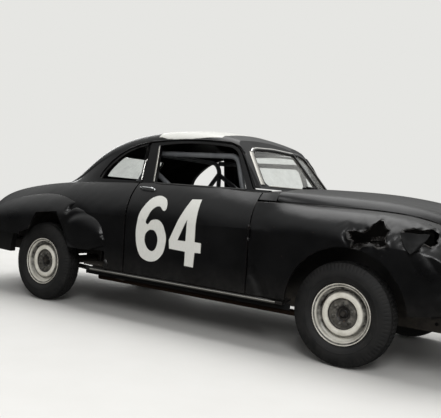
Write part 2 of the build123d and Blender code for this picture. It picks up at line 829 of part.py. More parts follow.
# Steering column and wheel
column_top = Vector(steering_top_x, seat_y, steering_top_z)
column_foot = Vector(1029.0, seat_y, 640.0)
column_axis = (column_top - column_foot).normalized()
with BuildPart() as column:
    with BuildSketch(Plane(origin=column_foot, z_dir=column_axis)):
        Circle(23)
    extrude(amount=(column_top - column_foot).length - 30)
    with BuildSketch(Plane(origin=column_top, z_dir=-column_axis)):
        Circle(11 + pin_clearance)
    extrude(amount=120, mode=Mode.SUBTRACT)
column_piece = biggest(column.part - block(1029.5, 1200, 0, 800, 300, 900))
save(column_piece, "steering_column")
wheel_plane = Plane(origin=column_top, z_dir=column_axis)
with BuildPart() as steering_wheel:
    with BuildSketch(Plane(origin=column_top - column_axis * 110, z_dir=column_axis)):
        Circle(11)
    extrude(amount=110)
    with BuildSketch(wheel_plane):
        Circle(34)
    extrude(amount=24, both=True)
    with BuildSketch(wheel_plane):
        Rectangle(2 * steering_wheel_r, 22)
        with Locations((0, -steering_wheel_r / 2)):
            Rectangle(22, steering_wheel_r)
    extrude(amount=4, both=True)
    with BuildSketch(Plane(origin=column_top, x_dir=wheel_plane.x_dir, z_dir=wheel_plane.y_dir)):
        with Locations((steering_wheel_r, 0)):
            Circle(13)
    revolve(axis=Axis(column_top, column_axis))
save(steering_wheel.part, "steering_wheel")

# Roll cage
cage = tube_path(
    [(hoop_x, -560, cage_foot_z), (hoop_x, -545, 1400), (hoop_x, 545, 1400), (hoop_x, 560, cage_foot_z)],
    cage_r,
    120,
)
for side in (1, -1):
    front_leg = [
        (780, side * 610, cage_foot_z),
        (776, side * 612, 900),
        (600, side * 540, 1400),
        (hoop_x, side * 535, 1400),
    ]
    cage = cage + tube_path(front_leg, cage_r, 90)
    cage = cage + rod((hoop_x, side * 556, 800), (778, side * 611, 760), cage_r)
    cage = cage + rod((hoop_x, side * 545, 1290), (778, side * 611, 620), cage_r)
    cage = cage + rod((hoop_x, side * 545, 1300), (-826, side * 500, deck_z + 80), cage_r)
cage = cage - block(floor_rear_x, 900, -700, 700, 300, floor_top_z + seat_gap)
cage = biggest(cage - block(-950, floor_rear_x, -700, 700, 300, deck_z + 88 + seat_gap))
save(cage, "roll_cage")

# Windshield panes and back window
glass_sheet = (roof_hull(0.4 * roof_wall) - ahead_of_glass(0.3 * roof_wall)) - (
    roof_hull(0.4 * roof_wall + glass_wall) - ahead_of_glass(0.3 * roof_wall + glass_wall)
)
front_panes = glass_sheet & windshield_hole(seat_gap) & block(600, 1200, -700, 700, 1150, 1500)
back_pane = glass_sheet & rear_window_hole(seat_gap) & block(-1400, -800, -700, 700, 1150, 1460)
panes = Compound(front_panes.solids() + back_pane.solids())
save(panes, "window_glass")

# Ladder frame
rail_line = (
    (2330, 0), (1250, 0), (-764, 0), (-960, kick_up), (-1560, kick_up), (-1800, 90), (-2325, 90),
)
rail_under = [(x, rail_bottom_z + lift) for x, lift in rail_line]
rail_over = [(x, rail_bottom_z + lift + rail_height) for x, lift in reversed(rail_line)]
inside_under = [(x + 4, z + rail_wall) for x, z in rail_under]
inside_over = [(x + 4, z - rail_wall) for x, z in rail_over]
with BuildPart() as frame:
    for side in (1, -1):
        outer_y = side * (rail_y + rail_width / 2)
        with BuildSketch(side_plane(outer_y)):
            with BuildLine():
                Polyline(*rail_under, *rail_over, close=True)
            make_face()
        extrude(amount=side * rail_width)
        with BuildSketch(side_plane(outer_y - side * rail_wall)):
            with BuildLine():
                Polyline(*inside_under, *inside_over, close=True)
            make_face()
        extrude(amount=side * rail_width, mode=Mode.SUBTRACT)
    for x, base, half in crossmembers:
        with Locations((x, 0, base + 30)):
            Box(70, 2 * half, 60)
frame_part = frame.part
# Columns: side, station of each bolt hole through the outer web, either side of the crossmember
horn_holes = ((1, 2306.0), (-1, 2188.0))
for side, x in horn_holes:
    outer_web = side * (rail_y + rail_width / 2)
    with BuildPart() as bolt_hole:
        with BuildSketch(side_plane(outer_web + side * 4)):
            with Locations((x, rail_bottom_z + rail_height / 2)):
                Circle(horn_hole_r)
        extrude(amount=side * (rail_wall + 8))
    frame_part = frame_part - bolt_hole.part
save(biggest(frame_part), "chassis_frame")

# Rocker panels below the doors, with the bright strip along their edge
with BuildPart() as rockers:
    for side in (1, -1):
        with BuildSketch(cross_plane(-640)):
            with BuildLine():
                Polyline(
                    (side * 740, floor_z - seat_gap),
                    (side * 790, floor_z - seat_gap),
                    (side * 800, sill_z - 7),
                    (side * 868, sill_z - 7),
                    (side * 876, 380),
                    (side * 876, 366),
                    (side * 864, 361),
                    (side * 780, 372),
                    (side * 740, 384),
                    close=True,
                )
            make_face()
        extrude(amount=1260 + 640)
save(rockers.part, "rocker_panels")

# Front aprons beside the engine
with BuildPart() as aprons:
    for side in (1, -1):
        with BuildSketch(cross_plane(1049)):
            with BuildLine():
                Polyline(
                    (side * 402, floor_z),
                    (side * 440, floor_z),
                    (side * 440, 870),
                    (side * 520, 990),
                    (side * 512, 996),
                    (side * 432, 874),
                    (side * 432, floor_z + apron_wall),
                    (side * 402, floor_z + apron_wall),
                    close=True,
                )
            make_face()
        extrude(amount=1090)
    with Locations((front_axle_x, 0, 440)):
        Box(352, 1200, 150, mode=Mode.SUBTRACT)
save(aprons.part, "inner_fenders")

# Grille and front valance
grille_x = 2398.0
with BuildPart() as grille:
    with BuildSketch(cross_plane(grille_x)):
        with Locations((0, 672)):
            RectangleRounded(2 * 455.6, 400, 60)
            RectangleRounded(2 * 392, 316, 50, mode=Mode.SUBTRACT)
    extrude(amount=34)
    with BuildSketch(cross_plane(grille_x + 6)):
        for height in (590, 672, 754):
            with Locations((0, height)):
                Rectangle(2 * 400, 26)
        for y in (-200, 0, 200):
            with Locations((y, 672)):
                Rectangle(16, 330)
    extrude(amount=20)
save(grille.part, "grille")

# Bumpers: a curved blade and two arms to the frame horns
# Columns: direction along the car, blade underside, arm underside, half width, arm root station
bumper_bow = 46.0
bumper_thick = 28.0
bumper_rows = (
    (1, 380.0, 318.0, 890.0, 2330.0 + seat_gap),
    (-1, 402.0, 400.0, 830.0, 2325.0 + seat_gap),
)
blades = []
for ahead, blade_z, arm_z, half, arm_x in bumper_rows:
    face_x = ahead * bumper_face_x
    tip_x = ahead * (bumper_face_x - bumper_bow)
    back = -ahead * bumper_thick
    with BuildPart() as bumper:
        with BuildSketch(Plane.XY.offset(blade_z)):
            with BuildLine():
                ThreePointArc((tip_x, -half), (face_x, 0), (tip_x, half))
                Line((tip_x, half), (tip_x + back, half))
                ThreePointArc((tip_x + back, half), (face_x + back, 0), (tip_x + back, -half))
                Line((tip_x + back, -half), (tip_x, -half))
            make_face()
        extrude(amount=130)
        fillet(bumper.edges().filter_by(GeomType.CIRCLE).sort_by(SortBy.LENGTH)[-2:], 11)
    blade = bumper.part
    for y in (rail_y, -rail_y):
        x0, x1 = sorted((ahead * arm_x, ahead * (bumper_face_x - 36)))
        blade = blade + block(x0, x1, y - 20, y + 20, arm_z, arm_z + 76)
    blades.append(biggest(blade))
save(Compound(blades), "bumpers")

# Engine with its gearbox, and the radiator
with BuildPart() as engine:
    with BuildSketch(cross_plane(1300)):
        with BuildLine():
            Polyline(
                (-150, 384.3), (150, 384.3), (230, 560), (230, 900), (170, 960), (-170, 960), (-230, 900),
                (-230, 560), close=True,
            )
        make_face()
    extrude(amount=690)
    with BuildSketch(cross_plane(1160)):
        with Locations((0, 560)):
            Circle(150)
    extrude(amount=140)
    with BuildSketch(cross_plane(900)):
        with Locations((0, 465)):
            RectangleRounded(180, 110, 24)
    extrude(amount=262)
save(engine.part, "engine_block")
with BuildPart() as radiator:
    with BuildSketch(cross_plane(2195)):
        with Locations((0, 384.3 + 270)):
            RectangleRounded(600, 540, 30)
    extrude(amount=66)
save(radiator.part, "radiator")

# Front suspension: crossmember, arms and kingpins
axle_z = tyre_radius
with BuildPart() as suspension:
    with Locations((front_axle_x, 0, rail_bottom_z - seat_gap - 30)):
        Box(120, 2 * 420, 60)
    for side in (1, -1):
        for arm_z, arm_t in ((226.0, 26.0), (468.0, 20.0)):
            with BuildSketch(Plane.XY.offset(arm_z)):
                with BuildLine():
                    Polyline(
                        (front_axle_x - 150, side * 418),
                        (front_axle_x - 34, side * 612),
                        (front_axle_x + 34, side * 612),
                        (front_axle_x + 150, side * 418),
                        (front_axle_x + 104, side * 418),
                        (front_axle_x, side * 560),
                        (front_axle_x - 104, side * 418),
                        close=True,
                    )
                make_face()
            extrude(amount=arm_t)
        with Locations((front_axle_x, side * 418, 239)):
            Box(320, 30, 40)
        with Locations((front_axle_x, side * 430, 478)):
            Box(320, 26, 26)
        with Locations((front_axle_x - 130, side * 424, 436), (front_axle_x + 130, side * 424, 436)):
            Box(30, 12, 84)
        with Locations((front_axle_x, side * 600, 357)):
            Box(34, 26, 262)
        with Locations((front_axle_x, side * 628, axle_z)):
            Box(34, 54, 72)
        with Locations((front_axle_x, side * kingpin_y, axle_z)):
            Cylinder(24, 80)
            Cylinder(kingpin_r, 176)
save(suspension.part, "front_suspension")

# Steering knuckles
for side, name in ((1, "left"), (-1, "right")):
    with BuildPart() as knuckle:
        for lift in (64, -64):
            with Locations((front_axle_x, side * kingpin_y, axle_z + lift)):
                Cylinder(24, 44)
            with Locations((front_axle_x, side * (kingpin_y + 20), axle_z + lift)):
                Box(44, 40, 44)
        with Locations((front_axle_x, side * (kingpin_y + 37), axle_z)):
            Box(44, 14, 172)
        with BuildSketch(side_plane(side * (front_track / 2 - 38))):
            with Locations((front_axle_x, axle_z)):
                Circle(drum_r - 12)
        extrude(amount=-side * 4)
        with BuildSketch(side_plane(side * (front_track / 2 - 34))):
            with Locations((front_axle_x, axle_z)):
                Circle(30)
        extrude(amount=-side * 16)
        with BuildSketch(side_plane(side * (front_track / 2 - 30))):
            with Locations((front_axle_x, axle_z)):
                Circle(spindle_r)
        extrude(amount=-side * 64)
        with Locations((front_axle_x, side * kingpin_y, axle_z)):
            Cylinder(kingpin_r + pin_clearance, 180, mode=Mode.SUBTRACT)
    save(knuckle.part, f"knuckle_{name}")

# Rear axle
with BuildPart() as rear_axle:
    with BuildSketch(side_plane(rear_track / 2 - 47)):
        with Locations((rear_axle_x, axle_z)):
            Circle(axle_tube_r)
    extrude(amount=rear_track - 94)
    with Locations((rear_axle_x, 0, axle_z)):
        Sphere(140)
    for side in (1, -1):
        with BuildSketch(side_plane(side * (rear_track / 2 - 43))):
            with Locations((rear_axle_x, axle_z)):
                Circle(drum_r - 6)
        extrude(amount=side * 4)
        with BuildSketch(side_plane(side * (rear_track / 2 + 34))):
            with Locations((rear_axle_x, axle_z)):
                Circle(spindle_r)
        extrude(amount=side * 90)
save(rear_axle.part, "rear_axle")

# Leaf springs
with BuildPart() as springs:
    for side in (1, -1):
        with BuildSketch(side_plane(side * rail_y + 25)):
            with BuildLine():
                ThreePointArc((-640, 252), (rear_axle_x, axle_z - axle_tube_r - seat_gap), (-1884, 300))
                Line((-1884, 300), (-1884, 276))
                ThreePointArc((-1884, 276), (rear_axle_x, axle_z - axle_tube_r - 34), (-640, 236))
                Line((-640, 236), (-640, 252))
            make_face()
            with Locations((-640, rail_bottom_z - seat_gap - 26)):
                Circle(26)
            with Locations((-1874, 0.5 * (280 + rail_bottom_z + 90 - seat_gap))):
                Rectangle(34, rail_bottom_z + 90 - seat_gap - 280)
        extrude(amount=50)
save(springs.part, "leaf_springs")

# Driveshaft, exhaust and fuel tank
driveshaft = rod((896, 0, 458), (rear_axle_x + 138, 0, 362), 34)
driveshaft = driveshaft - Pos(rear_axle_x, 0, axle_z) * Sphere(140 + seat_gap)
save(driveshaft, "driveshaft")
exhaust_line = [
    (1450, -230.3, 640),
    (1450, -292, 640),
    (1450, -292, 300),
    (1330, -292, 214),
    (-1030, -292, 214),
]
save(tube_path(exhaust_line, 25, 45), "exhaust")
with BuildPart() as tank:
    with BuildSketch(Plane.XY.offset(330)):
        with Locations((-1965, 0)):
            RectangleRounded(400, 620, 70)
    extrude(amount=deck_z - seat_gap - 330)
    fillet(tank.faces().sort_by(Axis.Z)[0].edges(), 30)
save(tank.part, "fuel_tank")

# Wheels and tyres, turned about the spindle; local +Y points away from the car
disc_half = (
    # distance out from the wheel's centre plane, radius
    (8.0, 168.0),
    (34.0, 158.0),
    (46.0, 140.0),
    (48.0, 116.0),
    (40.0, 98.0),
    (20.0, 84.0),
    (14.0, 70.0),
    (14.0, 20.0),
)


def rim(outward):
    """Steel disc wheel with its brake drum and hub; outward is +1 or -1."""
    with BuildPart() as wheel:
        with BuildSketch(Plane.YZ):
            with BuildLine():
                Polyline(
                    (70, 208), (63, 208), (62, 196), (56, 190), (32, 188), (25, 172), (-25, 172),
                    (-32, 188), (-56, 190), (-62, 196), (-63, 208), (-70, 208), (-69, 196), (-62, 185),
                    (-36, 182), (-28, 166), (28, 166), (36, 182), (62, 185), (69, 196), close=True,
                )
            make_face()
        with BuildSketch(Plane.YZ):
            with BuildLine():
                Polyline(*disc_half, *[(y - rim_wall, r - 1) for y, r in reversed(disc_half)], close=True)
            make_face()
            with BuildLine():
                Polyline(
                    (8.5, 20), (8.5, drum_r), (-40, drum_r), (-40, drum_r - 8), (0, drum_r - 8), (0, 20),
                    close=True,
                )
            make_face()
            with BuildLine():
                Polyline((14, 10), (14, hub_r), (-12, hub_r), (-12, 10), close=True)
            make_face()
            with BuildLine():
                Polyline((30, 10), (30, 28), (10, 28), (10, 10), close=True)
            make_face()
        revolve(axis=Axis.Y)
        with BuildSketch(Plane.XZ.offset(-60)):
            Circle(spindle_r + pin_clearance)
        extrude(amount=120, mode=Mode.SUBTRACT)
    return wheel.part if outward > 0 else mirror(wheel.part, about=Plane.XZ)


tyre_sides = 40
half_tyre = tyre_width / 2
# Tyre outline from one bead over the tread to the other: distance out, radius
tyre_rows = (
    (-half_tyre + 25.4, tyre_radius - 144),
    (-half_tyre + 8, tyre_radius - 120),
    (-half_tyre, tyre_radius - 84),
    (-half_tyre + 5, tyre_radius - 44),
    (-half_tyre + 22, tyre_radius - 10),
    (0.0, tyre_radius),
    (half_tyre - 22, tyre_radius - 10),
    (half_tyre - 5, tyre_radius - 44),
    (half_tyre, tyre_radius - 84),
    (half_tyre - 8, tyre_radius - 120),
    (half_tyre - 25.4, tyre_radius - 144),
)
bead_rows = ((-60.7, 196.7), (-55.0, 190.6), (55.0, 190.6), (60.7, 196.7))


def faceted(rows):
    """Ring of flat facets about the spindle through rows of distance out and radius."""
    with BuildPart() as ring:
        for out, radius in rows:
            with BuildSketch(Plane.XZ.offset(-out)):
                RegularPolygon(radius, tyre_sides, major_radius=False, rotation=180 / tyre_sides)
        loft(ruled=True)
    return ring.part


def tyre():
    """Narrow cross-ply tyre in flat facets, one of them on the ground."""
    return faceted(tyre_rows) - faceted(bead_rows)


for end, x, track in (("front", front_axle_x, front_track), ("rear", rear_axle_x, rear_track)):
    for side, name in ((1, "left"), (-1, "right")):
        place = Pos(x, side * track / 2, axle_z)
        save(place * rim(side), f"wheel_{end}_{name}")
        save(place * tyre(), f"tyre_{end}_{name}")
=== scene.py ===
import json
import math
import random

import bmesh
import bpy
from mathutils import Matrix, Vector, noise
from mathutils.bvhtree import BVHTree


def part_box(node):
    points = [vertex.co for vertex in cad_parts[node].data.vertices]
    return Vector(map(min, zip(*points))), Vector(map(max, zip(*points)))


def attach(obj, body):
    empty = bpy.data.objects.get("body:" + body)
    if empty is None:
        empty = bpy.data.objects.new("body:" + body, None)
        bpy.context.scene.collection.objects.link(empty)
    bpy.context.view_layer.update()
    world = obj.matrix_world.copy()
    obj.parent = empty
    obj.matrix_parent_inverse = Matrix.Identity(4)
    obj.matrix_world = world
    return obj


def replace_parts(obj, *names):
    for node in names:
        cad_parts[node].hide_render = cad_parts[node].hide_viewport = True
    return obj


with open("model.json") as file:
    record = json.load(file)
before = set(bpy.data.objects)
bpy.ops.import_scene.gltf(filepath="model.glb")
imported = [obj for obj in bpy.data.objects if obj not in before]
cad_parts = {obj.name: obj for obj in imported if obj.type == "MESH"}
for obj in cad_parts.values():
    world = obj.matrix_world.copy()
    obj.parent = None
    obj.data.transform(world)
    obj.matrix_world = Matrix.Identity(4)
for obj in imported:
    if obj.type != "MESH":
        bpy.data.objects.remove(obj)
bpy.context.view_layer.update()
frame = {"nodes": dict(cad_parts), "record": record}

nodes = frame["nodes"]
print("frame loaded with", len(nodes), "nodes")
sides = (("left", 1), ("right", -1))
# material slot of each finish, by the material's name
slotOf = {}


# small helpers

def linear(hexText, alpha=1.0):
    # sRGB hex such as "1b1c1e" to the linear colour that shaders want
    parts = [int(hexText[i:i + 2], 16) / 255 for i in (0, 2, 4)]
    parts = [p / 12.92 if p <= 0.04045 else ((p + 0.055) / 1.055) ** 2.4 for p in parts]
    return (*parts, alpha)


def addNode(tree, kind, settings=None, values=None, links=None):
    node = tree.nodes.new(kind)
    for key, value in (settings or {}).items():
        setattr(node, key, value)
    for key, value in (values or {}).items():
        node.inputs[key].default_value = value
    for key, socket in (links or {}).items():
        tree.links.new(socket, node.inputs[key])
    return node


def finishPiece(piece, material, body="body", creaseDegrees=38.0):
    # link, finish and attach a piece to its body; no crease angle leaves its faces flat
    if piece.name not in bpy.context.scene.collection.objects:
        bpy.context.scene.collection.objects.link(piece)
    piece.data.materials.clear()
    piece.data.materials.append(material)
    if creaseDegrees is not None:
        piece.data.shade_smooth()
        piece.data.set_sharp_from_angle(angle=math.radians(creaseDegrees))
    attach(piece, body)
    return piece


def finishMesh(name, mesh, material, body="body", creaseDegrees=38.0):
    return finishPiece(bpy.data.objects.new(name, mesh), material, body, creaseDegrees)


def cleanNormals(mesh, mergeDistance=0.00002):
    bm = bmesh.new()
    bm.from_mesh(mesh)
    bmesh.ops.remove_doubles(bm, verts=bm.verts, dist=mergeDistance)
    bmesh.ops.recalc_face_normals(bm, faces=bm.faces)
    bm.to_mesh(mesh)
    bm.free()
    mesh.update()


def meshFrom(name, verts, faces, edges=()):
    mesh = bpy.data.meshes.new(name)
    mesh.from_pydata([tuple(v) for v in verts], edges, faces)
    return mesh


def bakedFrom(name, bm):
    mesh = bpy.data.meshes.new(name)
    bm.to_mesh(mesh)
    bm.free()
    return mesh


def ringFaces(rings, size, closed=False):
    # quads between successive rings of points, with an end cap at both ends of an open run
    faces = []
    for i in range(rings if closed else rings - 1):
        a, b = i * size, (i + 1) % rings * size
        faces += [(a + k, a + (k + 1) % size, b + (k + 1) % size, b + k) for k in range(size)]
    if not closed:
        faces += [tuple(range(size))[::-1], tuple((rings - 1) * size + k for k in range(size))]
    return faces


def gridFaces(rows, wide):
    return [(i * wide + j, (i + 1) * wide + j, (i + 1) * wide + j + 1, i * wide + j + 1)
            for i in range(rows - 1) for j in range(wide - 1)]


def roundProfile(radius, steps, other=None):
    other = radius if other is None else other
    turns = [math.tau * k / steps for k in range(steps)]
    return [(radius * math.cos(turn), other * math.sin(turn)) for turn in turns]


def surfaceOf(*names):
    # one search tree over some CAD nodes, to land trim and paint on them
    verts, faces = [], []
    for name in names:
        mesh = nodes[name].data
        start = len(verts)
        verts += [v.co.copy() for v in mesh.vertices]
        faces += [[start + i for i in p.vertices] for p in mesh.polygons]
    return BVHTree.FromPolygons(verts, faces)


def landOn(tree, start, direction):
    # first hit from start along direction, and the surface's arrow there, towards the start
    hit, normal = tree.ray_cast(Vector(start), Vector(direction).normalized())[:2]
    if hit is not None and normal.dot(Vector(direction)) > 0:
        normal = -normal
    return hit, normal


def spacedPoints(points, step, closed=False):
    # even points along straight runs
    result = []
    for a, b in zip(points, points[1:] + (points[:1] if closed else [])):
        a, b = Vector(a), Vector(b)
        count = max(1, round((b - a).length / step))
        result += [a.lerp(b, i / count) for i in range(count)]
    if not closed:
        result.append(Vector(points[-1]))
    return result


def sweepStrip(name, path, outwards, profile, material, body="body", closed=False):
    # profile: (sideways, outward) pairs carried along the path
    verts = []
    for i, point in enumerate(path):
        ahead = path[(i + 1) % len(path)] if closed or i < len(path) - 1 else path[i]
        behind = path[i - 1] if closed or i > 0 else path[i]
        along = (ahead - behind).normalized()
        up = (outwards[i] - along * outwards[i].dot(along)).normalized()
        side = along.cross(up)
        verts += [point + side * s + up * u for s, u in profile]
    mesh = meshFrom(name, verts, ringFaces(len(path), len(profile), closed))
    cleanNormals(mesh)
    return finishMesh(name, mesh, material, body)


def tubeAlong(name, points, radius, material, steps=12, bend=0.03):
    # round tube or rod along a bent path
    flat = []
    for i, point in enumerate(points):
        here = Vector(point)
        if i in (0, len(points) - 1):
            flat.append(here)
            continue
        a, b = Vector(points[i - 1]) - here, Vector(points[i + 1]) - here
        cut = min(bend, 0.45 * a.length, 0.45 * b.length)
        start, end = here + a.normalized() * cut, here + b.normalized() * cut
        flat += [start * (1 - t) ** 2 + here * 2 * t * (1 - t) + end * t ** 2
                 for t in (0, 0.2, 0.4, 0.6, 0.8, 1.0)]
    outwards = []
    guide = Vector((0.13, 0.31, 0.94)).normalized()
    for i, point in enumerate(flat):
        along = (flat[min(i + 1, len(flat) - 1)] - flat[max(i - 1, 0)]).normalized()
        guide = (guide - along * guide.dot(along)).normalized()
        outwards.append(guide.copy())
    return sweepStrip(name, flat, outwards, roundProfile(radius, steps), material)


def turnedMesh(name, profile, steps, axis="Z"):
    # closed profile of (along, radius) pairs turned about the axis through the origin
    verts = []
    for i in range(steps):
        c, s = math.cos(math.tau * i / steps), math.sin(math.tau * i / steps)
        verts += [(r * c, a, r * s) if axis == "Y" else (r * c, r * s, a) for a, r in profile]
    mesh = meshFrom(name, verts, ringFaces(steps, len(profile), True))
    cleanNormals(mesh)
    return mesh


def turnedPiece(name, profile, steps, place, material, body="body", creaseDegrees=38.0, axis="Z"):
    mesh = turnedMesh(name, profile, steps, axis)
    mesh.transform(place)
    cleanNormals(mesh)
    return finishMesh(name, mesh, material, body, creaseDegrees)


def softBox(name, low, high, radius, material):
    # box with rounded edges
    bm = bmesh.new()
    bmesh.ops.create_cube(bm, size=1.0)
    for vert in bm.verts:
        vert.co = Vector([low[k] + (vert.co[k] + 0.5) * (high[k] - low[k]) for k in range(3)])
    bmesh.ops.bevel(bm, geom=bm.edges, offset=radius, segments=3, affect="EDGES", profile=0.5)
    return finishMesh(name, bakedFrom(name, bm), material, creaseDegrees=35.0)


def joinMeshes(name, meshes):
    # (mesh, matrix) pairs joined into one plain mesh
    bm = bmesh.new()
    for mesh, matrix in meshes:
        start = len(bm.verts)
        bm.from_mesh(mesh)
        bm.verts.ensure_lookup_table()
        bmesh.ops.transform(bm, matrix=matrix, verts=bm.verts[start:])
    return bakedFrom(name, bm)


def thicken(mesh, thickness, outward):
    # a film with a back, a front and a rim, pushed out one way
    bm = bmesh.new()
    bm.from_mesh(mesh)
    front = {v: bm.verts.new(v.co + Vector(outward) * thickness) for v in bm.verts[:]}
    rims = [e.verts[:] for e in bm.edges if e.is_boundary]
    for shape in [f.verts[:] for f in bm.faces]:
        bm.faces.new([front[v] for v in shape])
    for a, b in rims:
        bm.faces.new((a, b, front[b], front[a]))
    bm.to_mesh(mesh)
    bm.free()
    cleanNormals(mesh, 0.000001)


def sheetFrom(name, rows, outward, thickness, material):
    # rows of points made into a bent sheet of even thickness
    mesh = meshFrom(name, [point for row in rows for point in row], gridFaces(len(rows), len(rows[0])))
    thicken(mesh, thickness, outward)
    return finishMesh(name, mesh, material, creaseDegrees=40.0)


def bakeModifiers(piece):
    # evaluated object to a plain mesh, with its modifiers gone
    graph = bpy.context.evaluated_depsgraph_get()
    mesh = bpy.data.meshes.new_from_object(piece.evaluated_get(graph), depsgraph=graph)
    piece.modifiers.clear()
    piece.data = mesh


# finishes

print("making the finishes")


def newMaterial(name, slot=None):
    # empty material, its node tree and its texture coordinates
    material = bpy.data.materials.new(name)
    material.use_nodes = True
    material.node_tree.nodes.clear()
    slotOf[name] = slot
    return material, material.node_tree, addNode(material.node_tree, "ShaderNodeTexCoord").outputs


def noiseAt(tree, place, sizeMm, detail, roughness=0.5):
    return addNode(tree, "ShaderNodeTexNoise", values={"Scale": 1000 / sizeMm, "Detail": detail,
                   "Roughness": roughness}, links={"Vector": place}).outputs["Fac"]


def cellsAt(tree, place, sizeMm, feature="F1"):
    return addNode(tree, "ShaderNodeTexVoronoi", {"feature": feature}, {"Scale": 1000 / sizeMm},
                   {"Vector": place}).outputs["Distance"]


def remap(tree, value, fromLow, fromHigh, toLow=0.0, toHigh=1.0):
    return addNode(tree, "ShaderNodeMapRange", values={"From Min": fromLow, "From Max": fromHigh,
                   "To Min": toLow, "To Max": toHigh}, links={"Value": value}).outputs[0]


def reckon(tree, operation, a, b, clamp=False):
    return addNode(tree, "ShaderNodeMath", {"operation": operation, "use_clamp": clamp},
                   links={0: a, 1: b}).outputs[0]


def mixTones(tree, share, low, high):
    # low and high: sRGB hex text or colour sockets
    node = addNode(tree, "ShaderNodeMix", {"data_type": "RGBA"}, links={0: share})
    for key, tone in ((6, low), (7, high)):
        if isinstance(tone, str):
            node.inputs[key].default_value = linear(tone)
        else:
            tree.links.new(tone, node.inputs[key])
    return node.outputs[2]


def bumped(tree, height, strength, distanceMm, normal=None, invert=False):
    links = {"Height": height}
    if normal is not None:
        links["Normal"] = normal
    return addNode(tree, "ShaderNodeBump", {"invert": invert},
                   {"Strength": strength, "Distance": distanceMm / 1000}, links).outputs[0]


def edgeEased(tree, radiusMm):
    return addNode(tree, "ShaderNodeBevel", {"samples": 4}, {"Radius": radiusMm / 1000}).outputs[0]


def surfaced(tree, values, links):
    shader = addNode(tree, "ShaderNodeBsdfPrincipled", values=values, links=links)
    addNode(tree, "ShaderNodeOutputMaterial", links={"Surface": shader.outputs[0]})


def paintedSteel(name, slot, look):
    # enamel over sheet steel: a soft broad shine, faded in patches, dusty on top,
    # splashed low down and rubbed through to primer and rust along its edges
    material, tree, where = newMaterial(name, slot)
    place = where["Object"]
    height, facing = [addNode(tree, "ShaderNodeSeparateXYZ", links={0: where[key]}).outputs["Z"]
                      for key in ("Object", "Normal")]
    patches = noiseAt(tree, place, look["patchMm"], 5.0, 0.62)
    grime = noiseAt(tree, place, 45, 7.0, 0.7)
    base = mixTones(tree, remap(tree, patches, 0.38, 0.68), look["paint"], look["faded"])
    # dust lies on what faces up, broken by grime
    upward = remap(tree, facing, 0.55, 1.0, 0.0, look["topDust"])
    low = remap(tree, height, look["splashTop"], 0.28, 0.0, look["splash"])
    broken = remap(tree, grime, 0.35, 0.72, 0.25)
    dirt = reckon(tree, "MULTIPLY", reckon(tree, "ADD", upward, low), broken, True)
    dusty = mixTones(tree, dirt, base, look["dust"])
    if "shadeAndGrimeTone" in look:
        # painted shade and caked grease: a near-black tone laid where the mesh's own attribute says
        grimeAndShade = addNode(tree, "ShaderNodeAttribute", {"attribute_name": "grimeAndShade"}).outputs["Fac"]
        shadeAndGrimeMask = reckon(tree, "MULTIPLY", grimeAndShade, remap(tree, grime, 0.34, 0.6, 0.62), True)
        dusty = mixTones(tree, shadeAndGrimeMask, dusty, look["shadeAndGrimeTone"])
    # the bevel's normal leaves the true one only beside an edge, where paint rubs through
    eased = edgeEased(tree, look["edgeMm"])
    true = addNode(tree, "ShaderNodeNewGeometry").outputs["Normal"]
    agree = addNode(tree, "ShaderNodeVectorMath", {"operation": "DOT_PRODUCT"}, links={0: eased, 1: true})
    chips = remap(tree, noiseAt(tree, place, 14, 6.0, 0.75), 0.5, 0.58, 0.0, look["wear"])
    worn = reckon(tree, "MULTIPLY", remap(tree, agree.outputs["Value"], 0.985, 0.86), chips)
    nicks = remap(tree, cellsAt(tree, place, 95), 0.055, 0.035, 0.0, look["nicks"])
    bare = reckon(tree, "MAXIMUM", worn, nicks)
    colour = mixTones(tree, bare, dusty, mixTones(tree, grime, look["primer"], look["rust"]))
    # shine drops where dust lies
    rough = addNode(tree, "ShaderNodeMix", {"data_type": "FLOAT"}, {3: 0.82},
                    {0: dirt, 2: remap(tree, patches, 0.0, 1.0, *look["gloss"])})
    # beaten panels: long shallow waves, orange peel on them, then the chips' edges
    waved = bumped(tree, noiseAt(tree, place, look["waveMm"], 2.0), look["waves"], 20, eased)
    peeled = bumped(tree, noiseAt(tree, place, 3.5, 2.0), look["peel"], 1, waved)
    chipped = bumped(tree, bare, 0.5, 1, peeled, True)
    surfaced(tree, {"Metallic": 0.0, "IOR": 1.5, "Specular IOR Level": look.get("specular", 0.5)},
             {"Base Color": colour, "Roughness": rough.outputs[0], "Normal": chipped})
    return material


def platedSteel(name, slot, look):
    # chrome or stainless that has stood outside: a mirror gone cloudy, with pits and rust freckles
    material, tree, where = newMaterial(name, slot)
    place = where["Object"]
    pits = remap(tree, noiseAt(tree, place, 5, 5.0, 0.8), 0.6, 0.68, 0.0, look["pits"])
    clouds = noiseAt(tree, place, 60, 6.0, 0.65)
    surfaced(tree, {}, {"Base Color": mixTones(tree, pits, look["metal"], look["rust"]),
                        "Metallic": remap(tree, pits, 0.0, 1.0, 1.0, 0.35),
                        "Roughness": remap(tree, clouds, 0.0, 1.0, *look["gloss"]),
                        "Normal": bumped(tree, pits, 0.35, 1, edgeEased(tree, 2.5), True)})
    return material


def dustyRubber(name, slot, look):
    # carbon-black rubber: matt, greyed by dust that stays in the low places
    material, tree, where = newMaterial(name, slot)
    clouds = noiseAt(tree, where["Object"], 70, 6.0, 0.7)
    dust = remap(tree, clouds, 0.36, 0.74, 0.0, look["dustiness"])
    surfaced(tree, {"IOR": 1.52}, {"Base Color": mixTones(tree, dust, look["rubber"], look["dust"]),
                                   "Roughness": remap(tree, clouds, 0.0, 1.0, *look["gloss"]),
                                   "Normal": bumped(tree, noiseAt(tree, where["Object"], 2.5, 3.0), 0.25, 1)})
    return material


